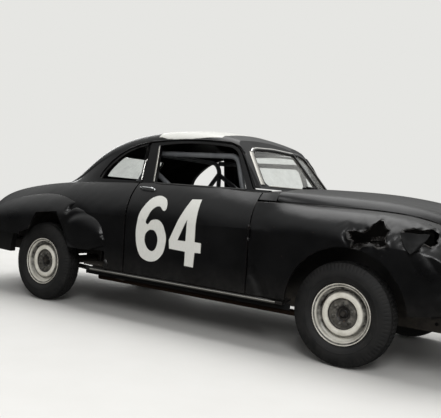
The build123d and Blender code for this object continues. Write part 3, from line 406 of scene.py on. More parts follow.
def brushedEnamel(name, slot, look):
    # house enamel laid on by hand: faint brush drags, thin places where the black grins through
    material, tree, where = newMaterial(name, slot)
    drag = addNode(tree, "ShaderNodeMapping", values={"Scale": (1.0, 1.0, look["drag"])},
                   links={"Vector": where["Object"]})
    strokes = noiseAt(tree, drag.outputs[0], 9, 4.0, 0.6)
    thin = remap(tree, noiseAt(tree, where["Object"], 40, 6.0, 0.7), 0.6, 0.78, 0.0, look["thinness"])
    tint = mixTones(tree, strokes, look["paint"], look["shade"])
    surfaced(tree, {"Roughness": look["gloss"], "IOR": 1.5},
             {"Base Color": mixTones(tree, thin, tint, look["under"]),
              "Normal": bumped(tree, strokes, 0.3, 0.8)})
    return material


def laminatedGlass(name, slot, look):
    # old laminated sheet: clear, with a film of road dust
    material, tree, where = newMaterial(name, slot)
    film = remap(tree, noiseAt(tree, where["Object"], 160, 7.0, 0.65), 0.35, 0.75, *look["film"])
    clear = addNode(tree, "ShaderNodeBsdfPrincipled", values={"Base Color": linear(look["tint"]),
                    "Roughness": 0.03, "IOR": 1.5, "Transmission Weight": 1.0})
    dust = addNode(tree, "ShaderNodeBsdfPrincipled", values={"Base Color": linear(look["dust"]),
                   "Roughness": 0.9, "IOR": 1.45})
    mixed = addNode(tree, "ShaderNodeMixShader", links={0: film, 1: clear.outputs[0], 2: dust.outputs[0]})
    addNode(tree, "ShaderNodeOutputMaterial", links={"Surface": mixed.outputs[0]})
    return material


def crackedVinyl(name, slot, look):
    # upholstery vinyl gone hard: fine pebble grain, cracks where it is sat on, pale scuffs
    material, tree, where = newMaterial(name, slot)
    place = where["Object"]
    scuffs = remap(tree, noiseAt(tree, place, 60, 6.0, 0.7), 0.52, 0.74, 0.0, look["scuffs"])
    cracks = remap(tree, cellsAt(tree, place, 22, "DISTANCE_TO_EDGE"), 0.035, 0.0)
    broken = reckon(tree, "MULTIPLY", cracks, scuffs)
    colour = mixTones(tree, broken, mixTones(tree, scuffs, look["vinyl"], look["pale"]), look["backing"])
    grain = bumped(tree, cellsAt(tree, place, 2.2), 0.35, 0.6)
    surfaced(tree, {"Roughness": 0.46, "IOR": 1.5},
             {"Base Color": colour, "Normal": bumped(tree, broken, 0.6, 1, grain, True)})
    return material


bodyLook = {"paint": "070708", "faded": "101011", "dust": "4c4945", "primer": "4e4641", "rust": "3e2f27",
            "patchMm": 420, "topDust": 0.2, "splash": 0.3, "splashTop": 0.58, "edgeMm": 4.0, "wear": 0.6,
            "nicks": 0.3, "gloss": (0.2, 0.4), "waveMm": 260, "waves": 0.42, "peel": 0.1,
            "specular": 0.3}
chassisLook = {"paint": "131211", "faded": "24211e", "dust": "4b443b", "primer": "40372f", "rust": "402d21",
               "patchMm": 180, "topDust": 0.55, "splash": 0.85, "splashTop": 0.5, "edgeMm": 3.0, "wear": 0.8,
               "nicks": 0.6, "gloss": (0.5, 0.8), "waveMm": 60, "waves": 0.12, "peel": 0.25}
cageLook = {"paint": "55575a", "faded": "66686a", "dust": "7a746a", "primer": "4f4a45", "rust": "5f4431",
            "patchMm": 90, "topDust": 0.25, "splash": 0.2, "splashTop": 0.55, "edgeMm": 2.0, "wear": 0.6,
            "nicks": 0.5, "gloss": (0.34, 0.55), "waveMm": 40, "waves": 0.05, "peel": 0.3}
dashLook = {"paint": "2b2c2e", "faded": "3a3b3c", "dust": "77726a", "primer": "6a5c50", "rust": "5a4030",
            "patchMm": 120, "topDust": 0.45, "splash": 0.0, "splashTop": 0.5, "edgeMm": 2.5, "wear": 0.6,
            "nicks": 0.3, "gloss": (0.35, 0.55), "waveMm": 90, "waves": 0.06, "peel": 0.2}
# the wheel's last tone is the near-black painted shade laid into the rim's well and round the dish's bosses
wheelLook = {"paint": "dcd9cf", "faded": "c2beb2", "dust": "8b8271", "primer": "6d5a48", "rust": "6a4128",
             "patchMm": 60, "topDust": 0.0, "splash": 0.0, "splashTop": 0.5, "edgeMm": 3.0, "wear": 0.9,
             "nicks": 0.8, "gloss": (0.3, 0.52), "waveMm": 50, "waves": 0.06, "peel": 0.2, "shadeAndGrimeTone": "1b1917"}


bodyPaint = paintedSteel("WeatheredBlackEnamel", "body_paint", bodyLook)
chassisPaint = paintedSteel("OilyChassisBlack", "chassis_paint", chassisLook)
cagePaint = paintedSteel("BrushedGreyCageEnamel", "cage_paint", cageLook)
dashPaint = paintedSteel("DarkDashEnamel", "dash_paint", dashLook)
wheelPaint = paintedSteel("OffWhiteWheelEnamel", "wheel_paint", wheelLook)
chrome = platedSteel("CloudedChromePlate", "bumper_chrome",
                     {"metal": "c9cbcc", "rust": "5d4634", "pits": 0.5, "gloss": (0.1, 0.34)})
stainless = platedSteel("PolishedStainlessTrim", "bumper_chrome",
                        {"metal": "d4d3cf", "rust": "8d8578", "pits": 0.25, "gloss": (0.16, 0.34)})
dullStainless = platedSteel("ScratchedStainlessTrim", "bumper_chrome",
                            {"metal": "a09e98", "rust": "6e675c", "pits": 0.45, "gloss": (0.34, 0.56)})
zincBolt = platedSteel("DullZincBolt", "engine_iron",
                       {"metal": "8d8b86", "rust": "5e4430", "pits": 0.8, "gloss": (0.42, 0.66)})
exhaustSteel = platedSteel("ScaledExhaustSteel", "exhaust_steel",
                           {"metal": "5b4a40", "rust": "4b2e1e", "pits": 0.9, "gloss": (0.55, 0.85)})
greasySteel = paintedSteel("GreasyBrakeDustSteel", "wheel_paint",
                           dict(wheelLook, paint="8d897f", faded="a5a196", dust="3a3733", splash=0.9,
                                splashTop=2.0, patchMm=30, nicks=0.6, gloss=(0.35, 0.6)))
# near black: grease, and painted shade of the wheel's deep middle hole
hubGreaseAndShade = paintedSteel("HubGreaseAndShadeBlack", "engine_iron",
                         dict(chassisLook, paint="0e0d0d", faded="171614", dust="24211e", rust="2a211b",
                              primer="2a2622", gloss=(0.3, 0.55)))
castIron = paintedSteel("OilyCastIron", "engine_iron",
                        dict(chassisLook, paint="2c2b29", faded="3d3a36", peel=0.6, gloss=(0.45, 0.7)))
tyreRubber = dustyRubber("DustyTyreRubber", "tyre_rubber",
                         {"rubber": "090909", "dust": "2f2c29", "dustiness": 0.34, "gloss": (0.62, 0.86)})
sealRubber = dustyRubber("AgedSealRubber", "tyre_rubber",
                         {"rubber": "101010", "dust": "3d3b38", "dustiness": 0.35, "gloss": (0.45, 0.65)})
tornSteel = paintedSteel("TornBareSteel", "body_paint",
                         dict(bodyLook, paint="141313", faded="2b2926", primer="54504b", rust="3c2f26",
                              wear=0.7, nicks=0.8, edgeMm=4.0, gloss=(0.4, 0.65)))
dustyPaint = paintedSteel("DustyBlackEnamel", "body_paint",
                          dict(bodyLook, paint="171718", faded="232322", topDust=0.5, gloss=(0.45, 0.7)))
# near-black enamel, darker and less worn than the body: painted shade for sheets that sit in shadow
shadeBlackPaint = paintedSteel("PaintedShadeBlackEnamel", "body_paint",
                          dict(bodyLook, paint="040405", faded="090909", dust="1c1b1a", topDust=0.3,
                               wear=0.2, nicks=0.0, gloss=(0.5, 0.7)))
bumperPaint = paintedSteel("PaintOverChrome", "bumper_chrome",
                           dict(bodyLook, paint="1b1b1c", faded="2a2a2a", primer="a9aaab", rust="6b5546",
                                wear=0.9, nicks=0.8, patchMm=200, waves=0.2, waveMm=120))
numberPaint = brushedEnamel("BrushedWhiteEnamel", "wheel_paint",
                            {"paint": "d6d6d1", "shade": "c4c4be", "under": "8a8a86", "drag": 0.25,
                             "thinness": 0.35, "gloss": 0.42})
blackPlastic = dustyRubber("HardBlackPlastic", "steering_plastic",
                           {"rubber": "18181a", "dust": "4a4742", "dustiness": 0.15, "gloss": (0.22, 0.4)})
windowGlass = laminatedGlass("DustyLaminatedGlass", "glass",
                             {"tint": "eef2f0", "dust": "b9b6ae", "film": (0.02, 0.16)})
seatVinyl = crackedVinyl("CrackedSeatVinyl", "seat_vinyl",
                         {"vinyl": "2a2622", "pale": "5c554c", "backing": "8d8472", "scuffs": 0.7})
gaugeFace = brushedEnamel("GaugeFaceEnamel", "dash_paint",
                          {"paint": "1a1b1c", "shade": "222324", "under": "303030", "drag": 1.0,
                           "thinness": 0.2, "gloss": 0.5})
# the finish of each CAD node, by its slot
paintOfSlot = {slotOf[finish.name]: finish for finish in (
    bodyPaint, chassisPaint, bumperPaint, windowGlass, cagePaint, seatVinyl, dashPaint, blackPlastic,
    castIron, exhaustSteel, wheelPaint, tyreRubber)}
for row in frame["record"]["subparts"]:
    mesh = nodes[row["node"]].data
    mesh.materials.clear()
    mesh.materials.append(paintOfSlot[row["material_slot"]])
nodes["radiator"].data.materials[0] = chassisPaint

# tyres

print("building the tyres")
tyre = {"radius": 0.356, "ribs": 5, "treadHalf": 0.06, "crown": 0.011, "grooveDepth": 0.009,
        "grooveWidth": 0.0065, "grooveLip": 0.0015, "zigzag": 0.0045, "pitch": 0.03, "slotDepth": 0.006,
        "slotShare": 0.28, "steps": 448}
# half section of the wall from the shoulder to the bead: distance from the middle plane, radius
tyreWall = [(0.063, 0.344), (0.07, 0.333), (0.0765, 0.318), (0.0815, 0.302), (0.0845, 0.286),
            (0.0858, 0.272), (0.085, 0.261), (0.0862, 0.26), (0.0862, 0.256), (0.0842, 0.255),
            (0.0815, 0.243), (0.077, 0.232), (0.0715, 0.223), (0.0722, 0.2215), (0.0712, 0.219),
            (0.066, 0.215), (0.0614, 0.212), (0.0606, 0.1966), (0.055, 0.1908)]


def tyreMesh():
    # tread ribs with zigzag grooves, a rounded shoulder with cut slots, raised rings on the wall
    half, steps = tyre["treadHalf"], tyre["steps"]
    wall = tyre["grooveWidth"] / 2
    lip = wall + tyre["grooveLip"]
    tread = [-half]
    for k in range(1, tyre["ribs"]):
        middle = half * (2 * k / tyre["ribs"] - 1)
        tread += [middle - lip, middle - wall, middle + wall, middle + lip]
    tread.append(half)
    pitches = round(math.tau * tyre["radius"] / tyre["pitch"])
    verts = []
    for i in range(steps):
        swing = (i * pitches / steps) % 1.0
        zig = tyre["zigzag"] * (4 * abs(swing - 0.5) - 1)
        section = []
        for k, across in enumerate(tread):
            radius = tyre["radius"] - tyre["crown"] * (across / half) ** 2
            inside = 0 < k < len(tread) - 1
            sunk = inside and (k - 1) % 4 in (1, 2)
            shift, sink = zig if inside else 0.0, tyre["grooveDepth"] if sunk else 0.0
            section.append((across + shift, radius - sink))
        cut = tyre["slotDepth"] if swing < tyre["slotShare"] else 0.0
        out = [(a, r - (cut if 0 < n < 3 else 0.0)) for n, (a, r) in enumerate(tyreWall)]
        loop = [(-a, r) for a, r in reversed(out)] + section + out
        c, s = math.cos(math.tau * i / steps), math.sin(math.tau * i / steps)
        verts += [(r * c, a, r * s) for a, r in loop]
    mesh = meshFrom("tyreShape", verts, ringFaces(steps, len(loop), True))
    cleanNormals(mesh)
    return mesh


wheelCentre = {(end, side): sum(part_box(f"tyre_{end}_{side}"), Vector()) / 2
               for end in ("front", "rear") for side, out in sides}
tyreShape = tyreMesh()
for (end, side), centre in wheelCentre.items():
    spin = random.Random(f"{end}{side}").uniform(0, 6.28)
    mesh = tyreShape.copy()
    mesh.transform(Matrix.Translation(centre) @ Matrix.Rotation(spin, 4, "Y"))
    piece = finishMesh(f"tyreTread_{end}_{side}", mesh, tyreRubber, f"wheel_{end}_{side}", 32.0)
    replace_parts(piece, f"tyre_{end}_{side}")

# wheels

print("building the wheels")
wheel = {"nuts": 6, "nutCircle": 0.07, "nutSeat": 0.0235, "steps": 144}
# distance out from the wheel's centre plane and radius, over the face and back along the inside
wheelFace = [(0.07, 0.208), (0.0712, 0.206), (0.07, 0.2042), (0.0676, 0.2026), (0.066, 0.2005),
             (0.0648, 0.196), (0.0637, 0.1915), (0.0628, 0.189), (0.056, 0.1838), (0.036, 0.1822),
             (0.032, 0.179), (0.029, 0.17), (0.024, 0.166), (0.01, 0.165), (0.008, 0.162),
             (0.012, 0.159), (0.025, 0.154), (0.036, 0.148), (0.043, 0.14), (0.0468, 0.13),
             (0.0478, 0.12), (0.0462, 0.112), (0.042, 0.108), (0.038, 0.1068), (0.03, 0.106)]
wheelBack = [(0.028, 0.1085), (0.04, 0.111), (0.044, 0.12), (0.04, 0.136), (0.024, 0.15),
             (0.006, 0.159), (0.006, 0.1655), (-0.026, 0.166), (-0.028, 0.17), (-0.035, 0.1822),
             (-0.056, 0.1838), (-0.0628, 0.188), (-0.0648, 0.196), (-0.069, 0.203), (-0.07, 0.208),
             (-0.063, 0.208), (-0.0606, 0.196), (-0.0545, 0.19), (-0.032, 0.188), (-0.025, 0.172),
             (0.025, 0.172), (0.032, 0.188), (0.0545, 0.19), (0.0606, 0.196), (0.063, 0.208)]
wheelDish = [(0.033, 0.1062), (0.027, 0.104), (0.0215, 0.1), (0.019, 0.094), (0.0205, 0.088),
             (0.0235, 0.082), (0.024, 0.07), (0.0232, 0.058), (0.02, 0.048), (0.0165, 0.043),
             (0.015, 0.04), (0.011, 0.04), (0.015, 0.048), (0.019, 0.06), (0.0195, 0.08),
             (0.0155, 0.092), (0.017, 0.102), (0.023, 0.1062)]


def newTool(name, sockets):
    # node tree with a Geometry socket each way, the given inputs and a Finish
    tree = bpy.data.node_groups.new(name, "GeometryNodeTree")
    for label, kind, value in (("Geometry", "Geometry", None), *sockets, ("Finish", "Material", None)):
        socket = tree.interface.new_socket(label, in_out="INPUT", socket_type=f"NodeSocket{kind}")
        if value is not None:
            socket.default_value = value
    tree.interface.new_socket("Geometry", in_out="OUTPUT", socket_type="NodeSocketGeometry")
    return tree, addNode(tree, "NodeGroupInput").outputs


def closeTool(tree, given, links):
    # instances made real and finished
    spread = addNode(tree, "GeometryNodeInstanceOnPoints", links=links)
    real = addNode(tree, "GeometryNodeRealizeInstances", links={"Geometry": spread.outputs[0]})
    done = addNode(tree, "GeometryNodeSetMaterial", links={"Geometry": real.outputs[0],
                   "Material": given["Finish"]})
    addNode(tree, "NodeGroupOutput", links={"Geometry": done.outputs[0]})
    return tree


def runTool(name, mesh, tree, values):
    # a new object whose mesh is what the tree makes of the given mesh
    piece = bpy.data.objects.new(name, mesh)
    bpy.context.scene.collection.objects.link(piece)
    modifier = piece.modifiers.new(tree.name, "NODES")
    modifier.node_group = tree
    for item in tree.interface.items_tree:
        if item.in_out == "INPUT" and item.name in values:
            modifier[item.identifier] = values[item.name]
    bakeModifiers(piece)
    return piece


def scaled(tree, value, factor, operation="MULTIPLY"):
    return addNode(tree, "ShaderNodeMath", {"operation": operation}, {1: factor}, {0: value}).outputs[0]


def nutTree():
    # hexagon nuts set on the given points, each along its own "facing" arrow
    tree, given = newTool("seatedHexNuts", (
        ("Across Corners", "Float", 0.023), ("Nut Height", "Float", 0.016), ("Stud Radius", "Float", 0.006),
        ("Stud Length", "Float", 0.008), ("Turn Seed", "Int", 3)))
    half, top = scaled(tree, given["Across Corners"], 0.5), scaled(tree, given["Across Corners"], 0.41)
    body = addNode(tree, "GeometryNodeMeshCylinder", values={"Vertices": 6},
                   links={"Radius": half, "Depth": given["Nut Height"]})
    cap = addNode(tree, "GeometryNodeMeshCone", values={"Vertices": 6, "Depth": 0.002},
                  links={"Radius Bottom": half, "Radius Top": top})
    stud = addNode(tree, "GeometryNodeMeshCylinder", values={"Vertices": 14},
                   links={"Radius": given["Stud Radius"], "Depth": given["Stud Length"]})
    nut = addNode(tree, "GeometryNodeJoinGeometry")
    for shape, height in ((body, scaled(tree, given["Nut Height"], 0.5)), (cap, given["Nut Height"]),
                          (stud, scaled(tree, given["Nut Height"], 0.003, "ADD"))):
        at = addNode(tree, "ShaderNodeCombineXYZ", links={"Z": height})
        placed = addNode(tree, "GeometryNodeTransform",
                         links={"Geometry": shape.outputs["Mesh"], "Translation": at.outputs[0]})
        tree.links.new(placed.outputs[0], nut.inputs[0])
    facing = addNode(tree, "GeometryNodeInputNamedAttribute", {"data_type": "FLOAT_VECTOR"},
                     {"Name": "facing"})
    aimed = addNode(tree, "FunctionNodeAlignRotationToVector", {"axis": "Z"},
                    links={"Vector": facing.outputs["Attribute"]})
    spin = addNode(tree, "FunctionNodeRandomValue", {"data_type": "FLOAT"}, {3: 6.28},
                   {"Seed": given["Turn Seed"]})
    spinAngle = addNode(tree, "ShaderNodeCombineXYZ", links={"Z": spin.outputs[1]})
    turned = addNode(tree, "FunctionNodeRotateRotation", {"rotation_space": "LOCAL"},
                     links={"Rotation": aimed.outputs[0], "Rotate By": spinAngle.outputs[0]})
    return closeTool(tree, given, {"Points": given["Geometry"], "Instance": nut.outputs[0],
                                   "Rotation": turned.outputs[0]})


hexNuts = nutTree()


def nutsOn(name, seats, sizes, body="body"):
    # seats: (point, outward arrow) pairs; sizes by the tree's own input names
    mesh = meshFrom(name, [point for point, arrow in seats], [])
    arrows = mesh.attributes.new("facing", "FLOAT_VECTOR", "POINT")
    for i, (point, arrow) in enumerate(seats):
        arrows.data[i].vector = Vector(arrow).normalized()
    piece = runTool(name, mesh, hexNuts, {**sizes, "Finish": zincBolt})
    return finishPiece(piece, zincBolt, body, 30.0)


# share of painted shade at each radius, dark like brake dust: the deep well of the rim and the groove by the
# tyre
rimShadeShare = [(0.0, 0.0), (0.144, 0.0), (0.148, 0.9), (0.15, 1.0), (0.1822, 1.0), (0.1838, 0.25),
             (0.189, 0.15), (0.1915, 1.0), (0.2005, 1.0), (0.2026, 0.2), (0.205, 0.0), (0.3, 0.0)]

# turned parts of a wheel besides its disc and dish, as (along, radius) pairs
hubProfile = [(-0.01, 0.0178), (-0.01, 0.0385), (0.002, 0.0385), (0.004, 0.037), (0.004, 0.029),
              (0.012, 0.0275), (0.0135, 0.0255), (0.0135, 0.0178)]
drumProfile = [(0.0085, 0.034), (0.0085, 0.136), (0.0065, 0.142), (-0.01, 0.142), (-0.012, 0.1395),
               (-0.016, 0.142), (-0.038, 0.142), (-0.04, 0.14), (-0.04, 0.134), (0.0, 0.134), (0.0, 0.034)]
stemProfile = [(0.0, 0.0), (0.0, 0.0052), (0.01, 0.0044), (0.012, 0.003), (0.03, 0.0028), (0.031, 0.0036),
               (0.04, 0.0036), (0.041, 0.0)]
stemLean = (Matrix.Rotation(1.9, 4, "Y") @ Matrix.Translation((0.0, 0.0205, 0.16))
            @ Matrix.Rotation(math.radians(12), 4, "X"))
for (end, side), centre in wheelCentre.items():
    out = dict(sides)[side]
    label, body = f"{end}_{side}", f"wheel_{end}_{side}"
    place = Matrix.Translation(centre) @ Matrix.Diagonal((1, out, 1, 1))
    mesh = turnedMesh(f"wheelDisc_{label}", wheelFace + wheelBack, wheel["steps"], "Y")
    # painted shade in the rim's well and the tyre groove, laid by radius
    grimeAndShade = mesh.attributes.new("grimeAndShade", "FLOAT", "POINT")
    for vert, share in zip(mesh.vertices, grimeAndShade.data):
        radius = math.hypot(vert.co.x, vert.co.z)
        near, far = next(pair for pair in zip(rimShadeShare, rimShadeShare[1:]) if pair[1][0] >= radius)
        share.value = near[1] + (far[1] - near[1]) * (radius - near[0]) / (far[0] - near[0])
        # the painted shade lifts off the lowest part of the rim's well: a painted lit crescent where light
        # from above falls in
        below = abs(math.atan2(vert.co.x, -vert.co.z)) / math.radians(48)
        if 0.158 < radius < 0.186:
            share.value *= 1 - 0.85 * math.exp(-below ** 2)
    mesh.transform(place)
    cleanNormals(mesh)
    piece = finishMesh(f"wheelDisc_{label}", mesh, wheelPaint, body, 50.0)
    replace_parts(piece, body)
    dish = turnedMesh(f"wheelDish_{label}", wheelDish, wheel["steps"], "Y")
    bossed = bmesh.new()
    bossed.from_mesh(dish)
    # six pressed bosses round the studs stand out; the dish is darker between them, round the middle hole and
    # at its edge, grease and painted shade together
    grimeAndShade = bossed.verts.layers.float.new("grimeAndShade")
    for vert in bossed.verts:
        radius = math.hypot(vert.co.x, vert.co.z)
        around = math.atan2(vert.co.z, vert.co.x) * wheel["nuts"] / math.tau - 0.3
        near = max(0.0, math.cos(math.tau * around)) ** 3
        boss = near * math.exp(-((radius - wheel["nutCircle"]) / 0.015) ** 2)
        vert.co.y += 0.0042 * boss
        vert[grimeAndShade] = max(0.8 * (1 - 1.4 * boss), (0.062 - radius) / 0.012, (radius - 0.096) / 0.006, 0.0)
    bossed.to_mesh(dish)
    bossed.free()
    dish.transform(place)
    cleanNormals(dish)
    finishMesh(f"wheelDish_{label}", dish, greasySteel, body, 50.0)
    angles = [math.tau * (k + 0.3) / wheel["nuts"] for k in range(wheel["nuts"])]
    seats = [(centre + Vector((wheel["nutCircle"] * math.cos(a), out * wheel["nutSeat"],
                               wheel["nutCircle"] * math.sin(a))), (0, out, 0)) for a in angles]
    nutsOn(f"wheelNuts_{label}", seats, {"Turn Seed": 5 if end == "front" else 9}, body)
    # greasy hub in the middle hole, darkened to near black as painted shade of the deep hole; the drum behind
    # the disc and the valve stem through the rim
    turnedPiece(f"wheelHub_{label}", hubProfile, 64, place, hubGreaseAndShade, body, axis="Y")
    turnedPiece(f"brakeDrum_{label}", drumProfile, 96, place, castIron, body, axis="Y")
    turnedPiece(f"valveStem_{label}", stemProfile, 16, place @ stemLean, sealRubber, body, axis="Y")

# dented and torn panels

print("denting and tearing the panels")


def splitLong(bm, longest, rounds, wanted=None):
    # halve long edges, only where they are wanted, until none is left
    for _ in range(rounds):
        long = [e for e in bm.edges if e.calc_length() > longest and (wanted is None or wanted(e))]
        if not long:
            break
        bmesh.ops.subdivide_edges(bm, edges=long, cuts=1)
        bmesh.ops.triangulate(bm, faces=bm.faces)


def dentedPanel(node, push, inside, longest):
    # copy of a CAD panel, cut finer near the damage and pushed out of shape there
    bm = bmesh.new()
    bm.from_mesh(nodes[node].data)
    bmesh.ops.remove_doubles(bm, verts=bm.verts, dist=0.00001)
    shares = [k / 6 for k in range(7)]
    splitLong(bm, longest, 10, lambda e: any(inside(e.verts[0].co.lerp(e.verts[1].co, t)) for t in shares))
    for vert in bm.verts:
        vert.co += push(vert.co)
    mesh = bakedFrom(f"dented_{node}", bm)
    cleanNormals(mesh, 0.000001)
    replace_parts(finishMesh(f"dented_{node}", mesh, bodyPaint, creaseDegrees=34.0), node)


def lineDistance(x, z, line):
    # distance to a drawn line on the side of the car, and the share of the line reached there
    best, share = 9.0, 0.0
    spot = Vector((x, z))
    for i, (a, b) in enumerate(zip(line, line[1:])):
        a, b = Vector(a), Vector(b)
        t = max(0.0, min(1.0, (spot - a).dot(b - a) / max((b - a).length_squared, 1e-9)))
        away = (spot - a.lerp(b, t)).length
        if away < best:
            best, share = away, (i + t) / (len(line) - 1)
    return best, share


def ridges(x, z, size, seed):
    # sharp folds between soft hollows, 0 to 1
    return 1.0 - min(1.0, 2.2 * abs(noise.noise(Vector((x / size, z / size, seed)))))


rearDamage = {"gouge": [(-0.892, 0.82), (-0.862, 0.868), (-0.812, 0.902), (-0.745, 0.908), (-0.66, 0.884),
                        (-0.56, 0.852), (-0.43, 0.82)], "gougeDepth": 0.044, "gougeWidth": 0.024,
              "crease": [(-0.47, 0.85), (-0.44, 0.74), (-0.424, 0.62), (-0.42, 0.5)],
              "creaseDepth": 0.026, "creaseWidth": 0.045, "bulge": (-0.66, 0.69), "bulgeSize": (0.2, 0.13)}


def rearPush(point):
    if point.y > -0.74:
        return Vector()
    away, share = lineDistance(point.x, point.z, rearDamage["gouge"])
    taper = max(0.0, min(1.0, 6 * share, 5 * (1 - share)))
    width = rearDamage["gougeWidth"] * (0.8 + 0.5 * noise.noise(Vector((point.x * 14, point.z * 14, 1.0))))
    inward = rearDamage["gougeDepth"] * taper * math.exp(-(away / width) ** 2)
    away, share = lineDistance(point.x, point.z, rearDamage["crease"])
    fold = ridges(point.x, point.z * 0.6, 0.04, 7.0) * math.exp(-(away / rearDamage["creaseWidth"]) ** 2)
    inward += rearDamage["creaseDepth"] * fold
    cx, cz = rearDamage["bulge"]
    sx, sz = rearDamage["bulgeSize"]
    far = math.hypot((point.x - cx) / sx, (point.z - cz) / sz)
    inward += 0.012 * math.exp(-((far - 1.15) / 0.22) ** 2)
    return Vector((0, inward, -0.25 * inward))


def rearInside(point):
    return point.y < -0.74 and -0.98 < point.x < -0.36 and 0.4 < point.z < 0.99


dentedPanel("fender_rear_right", rearPush, rearInside, 0.012)

tears = [
    [(1.698, 0.915), (1.752, 0.926), (1.79, 0.916), (1.836, 0.954), (1.882, 1.006), (1.906, 1.0),
     (1.934, 0.964), (1.962, 0.946), (1.952, 0.896), (1.97, 0.85), (1.912, 0.828), (1.872, 0.85),
     (1.822, 0.838), (1.786, 0.806), (1.738, 0.812), (1.742, 0.858), (1.716, 0.87)],
    [(2.04, 0.956), (2.092, 0.974), (2.15, 0.966), (2.196, 0.976), (2.238, 0.95), (2.25, 0.888),
     (2.226, 0.862), (2.18, 0.884), (2.128, 0.858), (2.092, 0.892), (2.052, 0.902)],
]


# long soft dent low behind the front wheel, running down to the sill
lowDent = {"line": [(0.988, 0.61), (1.0, 0.55), (1.052, 0.49), (1.104, 0.396)], "depth": 0.02, "width": 0.042}


def frontPush(point):
    if point.y > -0.7:
        return Vector()
    if point.x < 1.3 and point.z < 0.7:
        away, share = lineDistance(point.x, point.z, lowDent["line"])
        taper = max(0.0, min(1.0, 5 * (share + 0.12)))
        return Vector((0, lowDent["depth"] * taper * math.exp(-(away / lowDent["width"]) ** 2), 0))
    near = min(lineDistance(point.x, point.z, tear + tear[:1])[0] for tear in tears)
    crumple = 0.009 * ridges(point.x, point.z, 0.085, 3.0) * math.exp(-(near / 0.055) ** 2)
    curl = 0.014 * noise.noise(Vector((point.x * 26, point.z * 26, 9.0))) * math.exp(-(near / 0.012) ** 2)
    nose = 0.01 * ridges(point.x, point.z, 0.12, 5.0) * max(0.0, min(1.0, (point.x - 2.05) / 0.2))
    return Vector((0, crumple + nose + max(curl, -crumple - nose), -0.3 * curl))


def frontInside(point):
    low = 0.95 < point.x < 1.2 and 0.38 < point.z < 0.64
    return point.y < -0.7 and (low or 1.6 < point.x < 2.44 and 0.7 < point.z < 1.05)


dentedPanel("fender_front_right", frontPush, frontInside, 0.014)
fenderSide = surfaceOf("fender_front_right")


# ragged lips of torn sheet round each hole
for order, tear in enumerate(tears):
    edge = spacedPoints([(x, z, 0) for x, z in tear], 0.006, True)
    middle = sum(edge, Vector()) / len(edge)
    rows = []
    for point in edge + edge[:1]:
        away = (point - middle).normalized()
        seed = Vector((point.x * 55, point.y * 55, 4.0 + order))
        bite = 0.007 + 0.016 * abs(noise.noise(seed)) + 0.006 * noise.noise(seed * 3)
        curl = 0.01 * noise.noise(seed * 0.4) + 0.004 * noise.noise(seed * 2.0)
        spots = [point + away * 0.01, point + away * 0.002, point - away * bite * 0.5, point - away * bite]
        hit = landOn(fenderSide, (spots[0].x, -1.2, spots[0].y), (0, 1, 0))[0]
        base = hit.y if hit and hit.y < -0.7 else -0.885
        base += frontPush(Vector((point.x, -0.9, point.y))).y
        deep = (-0.0006, 0.0, 0.004 + curl * 0.5, 0.009 + curl)
        rows.append([Vector((q.x, base + d, q.y)) for q, d in zip(spots, deep)])
    sheetFrom(f"tornLip_{order}", rows, (0, -1, 0), 0.0012, tornSteel)

# hanging tongue of sheet below the second hole, its point swung outwards, in near-black enamel as painted
# shade
flap = {"back": 2.044, "front": 2.226, "top": 0.945, "drop": 0.128, "side": -0.896, "swing": 0.026,
        "limit": -0.936}
rows = []
for i in range(15):
    t = i / 14
    left, right = flap["back"] + 0.044 * t ** 1.6, flap["front"] - 0.054 * t ** 1.1
    rows.append([])
    for j in range(17):
        u = j / 16
        ragged = 0.006 * noise.noise(Vector((u * 4, t * 4, 2)))
        z = flap["top"] - flap["drop"] * t * (1 - 0.55 * abs(u - 0.45)) + ragged
        y = flap["side"] - flap["swing"] * t ** 1.3 + 0.01 * math.sin(5.2 * u + 2.0 * t) * (0.3 + t)
        rows[-1].append(Vector((left + (right - left) * u, max(y, flap["limit"]), z)))
sheetFrom("hangingFlap", rows, (0, -1, 0), 0.0014, shadeBlackPaint)

# crushed strips of inner sheet seen through the first hole: ends in (x, z), half width and depth
for order, (start, end, half, deep) in enumerate((((1.7, 0.905), (1.722, 0.815), 0.016, -0.862),
                                                  ((1.712, 0.822), (1.9, 0.846), 0.018, -0.85),
                                                  ((1.84, 0.88), (1.958, 0.9), 0.012, -0.835))):
    a, b = Vector(start), Vector(end)
    along = (b - a).normalized()
    across = Vector((-along.y, along.x))
    rows = []
    for i in range(41):
        t = i / 40
        rows.append([])
        for j in range(9):
            u = j / 4 - 1
            spot = a.lerp(b, t) + across * u * half * (1 + 0.4 * noise.noise(Vector((t * 9, 0, order))))
            fold = 0.014 * ridges(spot.x, spot.y, 0.022, 11.0 + order) - 0.008 * u * u
            rows[-1].append(Vector((spot.x, deep + fold, spot.y)))
    sheetFrom(f"crushedStrip_{order}", rows, (0, -1, 0), 0.0012, tornSteel)

# bright trim, rubber and handles

print("fitting trim, rubber and handles")
halfRound = [(-0.5, 0.0), (-0.5, 0.35), (-0.34, 0.78), (0.0, 1.0), (0.34, 0.78), (0.5, 0.35), (0.5, 0.0)]
cabOnly = surfaceOf("cab_shell")
# the strips' undersides are sunk by this much into what carries them
trimSink = 0.0006


def trimAlong(name, hits, width, height, material, body="body"):
    path = [hit - normal * trimSink for hit, normal in hits]
    profile = [(width * a, height * b) for a, b in halfRound]
    return sweepStrip(name, path, [normal for hit, normal in hits], profile, material, body)


def sideTrim(name, line, side, width, height, material, body, tree, step=0.02):
    # strip laid on the side of the car along (x, z) points
    out = dict(sides)[side]
    hits = [landOn(tree, (spot.x, out * 1.3, spot.y), (0, -out, 0))
            for spot in spacedPoints([(x, z, 0) for x, z in line], step)]
    return trimAlong(name, [(hit, normal) for hit, normal in hits if hit is not None and abs(hit.y) >= 0.45],
                     width, height, material, body)


def frontTrim(name, line, width, height, material, tree=cabOnly, step=0.02):
    # strip laid on the windshield surround along (y, z) points
    hits = [landOn(tree, (2.2, spot.x, spot.y), (-1, 0, 0))
            for spot in spacedPoints([(y, z, 0) for y, z in line], step)]
    return trimAlong(name, [(hit, normal) for hit, normal in hits if hit is not None], width, height,
                     material)


